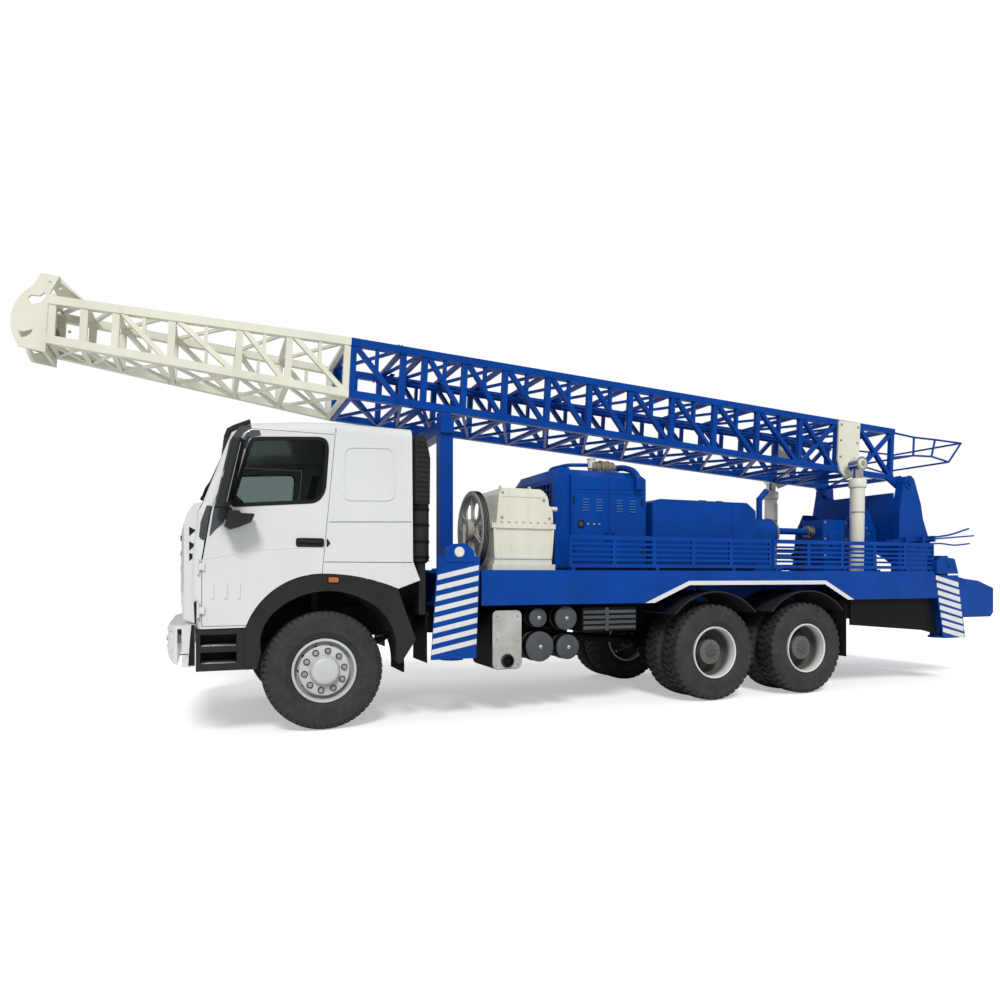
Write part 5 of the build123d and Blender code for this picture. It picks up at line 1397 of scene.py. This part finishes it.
def make_table_parts():
    """The rotary table's ring with its bolts, and the bolts on the platform's end."""
    ring, bolts = shapes(2)
    x, y, z = TABLE_CENTRE
    add_turned(ring, [(0, 134), (0, 246), (8, 240), (12, 180), (20, 172), (20, 140), (12, 134)],
               at(x, y, z), UP, 56, True)
    for back, across in circle(12, 212):
        add_bolt(bolts, at(x + back, y + across, z + 9), UP, 24, 10)
    for y in (-960, -720, 720, 960):
        add_bolt(bolts, at(9290, y, 1180), BACK, 22, 8)
    finish_piece("table_ring", ring, IRON)
    finish_piece("table_bolts", bolts, STEEL)


def make_tail_lamps():
    """Red and amber glasses on the tail lamps."""
    for name, material, inner in (("red", RED, 704), ("amber", AMBER, 804)):
        shape = bmesh.new()
        for way in (-1, 1):
            add_slab(shape, (9309, 9314), (way * inner, way * (inner + 92)), (956, 1044))
        finish_piece("tail_lamp_" + name, shape, material, 2)


def make_machinery():
    """Everything that is fixed to the machines on the deck."""
    for make in (make_pump_parts, make_sheave_parts, make_canopy_parts, make_radiator,
                 make_exhaust_parts, make_tank_parts, make_gearbox_parts, make_winch_parts,
                 make_brake_parts, make_rear_levers, make_rear_frame_parts, make_table_parts,
                 make_tail_lamps):
        make()


# Mast

def make_cylinder_parts():
    """Glands, feed pipes and pin caps of the mast cylinders."""
    glands, pipes, caps = shapes(3)
    run = Vector((30, 0, 1590)).normalized()
    foot_x, foot_y, foot_z = CYLINDER_FOOT
    for way in (-1, 1):
        foot = at(foot_x, way * foot_y, foot_z)
        add_turned(glands, [(1274, 88), (1274, 100), (1282, 108), (1376, 108), (1388, 102),
                            (1388, 56)], foot, run, 48)
        for back, across in circle(8, 0.078):
            add_bolt(glands, foot + run * 1.388 + Vector((back, across, 0)), run, 18, 8)
        add_pipe(pipes, [foot + run * up + BACK * back for up, back in (
            (0.2, 0.072), (0.2, 0.1215), (1.22, 0.1215), (1.22, 0.072))], 11, 36)
        for up in (0.45, 0.95):
            add_band(pipes, foot + run * up, run, 9, 88, 95)
        add_turned(caps, [(0, 0), (0, 62), (8, 60), (14, 44), (14, 0)],
                   foot + run * 1.5903 + ACROSS * way * 0.0705, ACROSS * way, 36)
    finish_piece("cylinder_glands", glands, CREAM, 0, "mast_cylinder_barrels")
    finish_piece("cylinder_pipes", pipes, STEEL, 0, "mast_cylinder_barrels")
    finish_piece("rod_pin_caps", caps, CREAM, 0, "mast_cylinder_rods")


def make_mast_joint():
    """Bolted flange plates where the cream and the blue lengths meet."""
    plates, bolts = shapes(2)
    for way in (-1, 1):
        for height in (134, 660):
            for station in (7142, 7178):
                outline = square((station - 8, station + 8), (height - 48, height + 48))
                add_prism(plates, [on_mast(place, way * 520, up) for place, up in outline],
                          ACROSS * way * 0.088)
            for lift in (-32, 32):
                add_bolt(bolts, on_mast(7186, way * 564, height + lift), Vector((-1, 0, 0.05)))
    finish_piece("mast_joint_plates", plates, BLUE, 2, "mast")
    finish_piece("mast_joint_bolts", bolts, STEEL, 0, "mast")


def make_mast_plate_parts():
    """Bolts and pin bosses of the cream plates that the cylinders push on."""
    bolts, bosses = shapes(2)
    for way in (-1, 1):
        for station in (822, 1118):
            for height in (250, 470, 680):
                add_bolt(bolts, on_mast(station, way * MAST_PLATE_FACE, height), ACROSS * way, 26)
        add_turned(bosses, [(0, 42), (0, 104), (10, 102), (14, 94), (14, 42)],
                   on_mast(964, way * MAST_PLATE_FACE, 138), ACROSS * way, 40, True)
    finish_piece("mast_plate_bolts", bolts, STEEL, 0, "mast")
    finish_piece("mast_plate_bosses", bosses, CREAM, 0, "mast")


def make_crown_parts():
    """Sheave rims and the bolts along the crown's cheeks."""
    rims, bolts = shapes(2)
    half = [(-25, 148), (-25, 156), (-18, 158), (-6, 151)]
    for y in (-120, 0, 120):
        add_turned(rims, half + [(-along, radius) for along, radius in half[::-1]],
                   on_mast(10450, y, 440), ACROSS, 56, True)
    for way in (-1, 1):
        for station, height in ((10240, 300), (10240, 560), (10240, 780), (10330, 836)):
            add_bolt(bolts, on_mast(station, way * 270, height), ACROSS * way, 20, 9)
    finish_piece("crown_sheave_rims", rims, IRON, 0, "mast")
    finish_piece("crown_bolts", bolts, CREAM, 0, "mast")


def make_mast_pipes():
    """The stand pipe and hydraulic lines clamped along the mast."""
    pipes, clamps = shapes(2)
    for y, height, radius in ((470, 640, 30), (400, 655, 14), (370, 655, 14)):
        add_rod(pipes, on_mast(150, y, height), on_mast(7100, y, height - 25), radius)
    for station in range(500, 7000, 1080):
        add_prism(clamps, [on_mast(place, y, 672) for place, y in
                           square((station, station + 50), (350, 524))], UP * 0.012)
    finish_piece("mast_pipes", pipes, BLUE, 0, "mast")
    finish_piece("mast_pipe_clamps", clamps, BLUE, 2, "mast")


def make_mast_parts():
    """Everything that is fixed to the mast and its cylinders."""
    make_cylinder_parts()
    make_mast_joint()
    make_mast_plate_parts()
    make_crown_parts()
    make_mast_pipes()


# The picture

def make_floor():
    """A wide pale floor that keeps the truck's shadow."""
    shape = bmesh.new()
    shape.faces.new([shape.verts.new((x, y, -0.001)) for x, y in square((-60, 60), (-60, 60))])
    bmesh.ops.subdivide_edges(shape, edges=shape.edges, cuts=4, use_grid_fill=True)
    mesh = bpy.data.meshes.new("floor")
    shape.to_mesh(mesh)
    shape.free()
    floor = bpy.data.objects.new("floor", mesh)
    bpy.context.scene.collection.objects.link(floor)
    material, tree, shader = blank("pale_floor")
    spots = noise(tree, place_of(tree), 3.0, 3.0)
    seen = add(tree, "LightPath").outputs["Is Camera Ray"]
    feed(tree, shader, Roughness=0.9, Specular_IOR_Level=0.0,
         Base_Color=mixed(tree, spots, colour(0.84, 0.84, 0.84), colour(0.88, 0.88, 0.88)),
         Emission_Color=colour(1, 1, 1), Emission_Strength=calc(tree, "MULTIPLY", seen, 0.42))
    mesh.materials.append(material)


def make_light():
    """A white surround and one broad soft lamp from the camera's side."""
    world = bpy.data.worlds.new("surround")
    bpy.context.scene.world = world
    world.use_nodes = True
    tree = world.node_tree
    light = feed(tree, tree.nodes["Background"], Color=colour(0.96, 0.98, 1.0), Strength=0.44)
    seen = add(tree, "Background", Color=colour(1, 1, 1), Strength=1.0)
    path = add(tree, "LightPath").outputs
    share = calc(tree, "MAXIMUM", path["Is Camera Ray"], path["Is Transmission Ray"])
    both = add(tree, "MixShader")
    for index, socket in enumerate((share, light.outputs[0], seen.outputs[0])):
        plug(tree, socket, both.inputs[index])
    feed(tree, tree.nodes["World Output"], Surface=both.outputs[0])
    lamp = bpy.data.lights.new("soft_sun", "SUN")
    lamp.energy = 2.0
    lamp.angle = math.radians(16)
    lamp.color = (1.0, 0.985, 0.96)
    sun = bpy.data.objects.new("soft_sun", lamp)
    sun.rotation_euler = (math.radians(46), math.radians(-8), math.radians(-12))
    bpy.context.scene.collection.objects.link(sun)


def make_camera():
    """A camera at the photograph's view."""
    view = bpy.data.cameras.new("view")
    view.lens = 26
    view.sensor_width = 36
    view.shift_y = 0.076
    camera = bpy.data.objects.new("view", view)
    camera.location = (-4.361, -7.85, 1.41)
    camera.rotation_euler = (math.radians(90), 0, math.radians(-22.2))
    bpy.context.scene.collection.objects.link(camera)
    bpy.context.scene.camera = camera


def main():
    """Builds the whole picture."""
    make_camera()
    dress_nodes()
    make_tyres()
    make_hubs()
    make_cab()
    make_deck_parts()
    make_machinery()
    make_mast_parts()
    make_floor()
    make_light()
    bpy.context.scene.view_settings.view_transform = "Standard"


main()
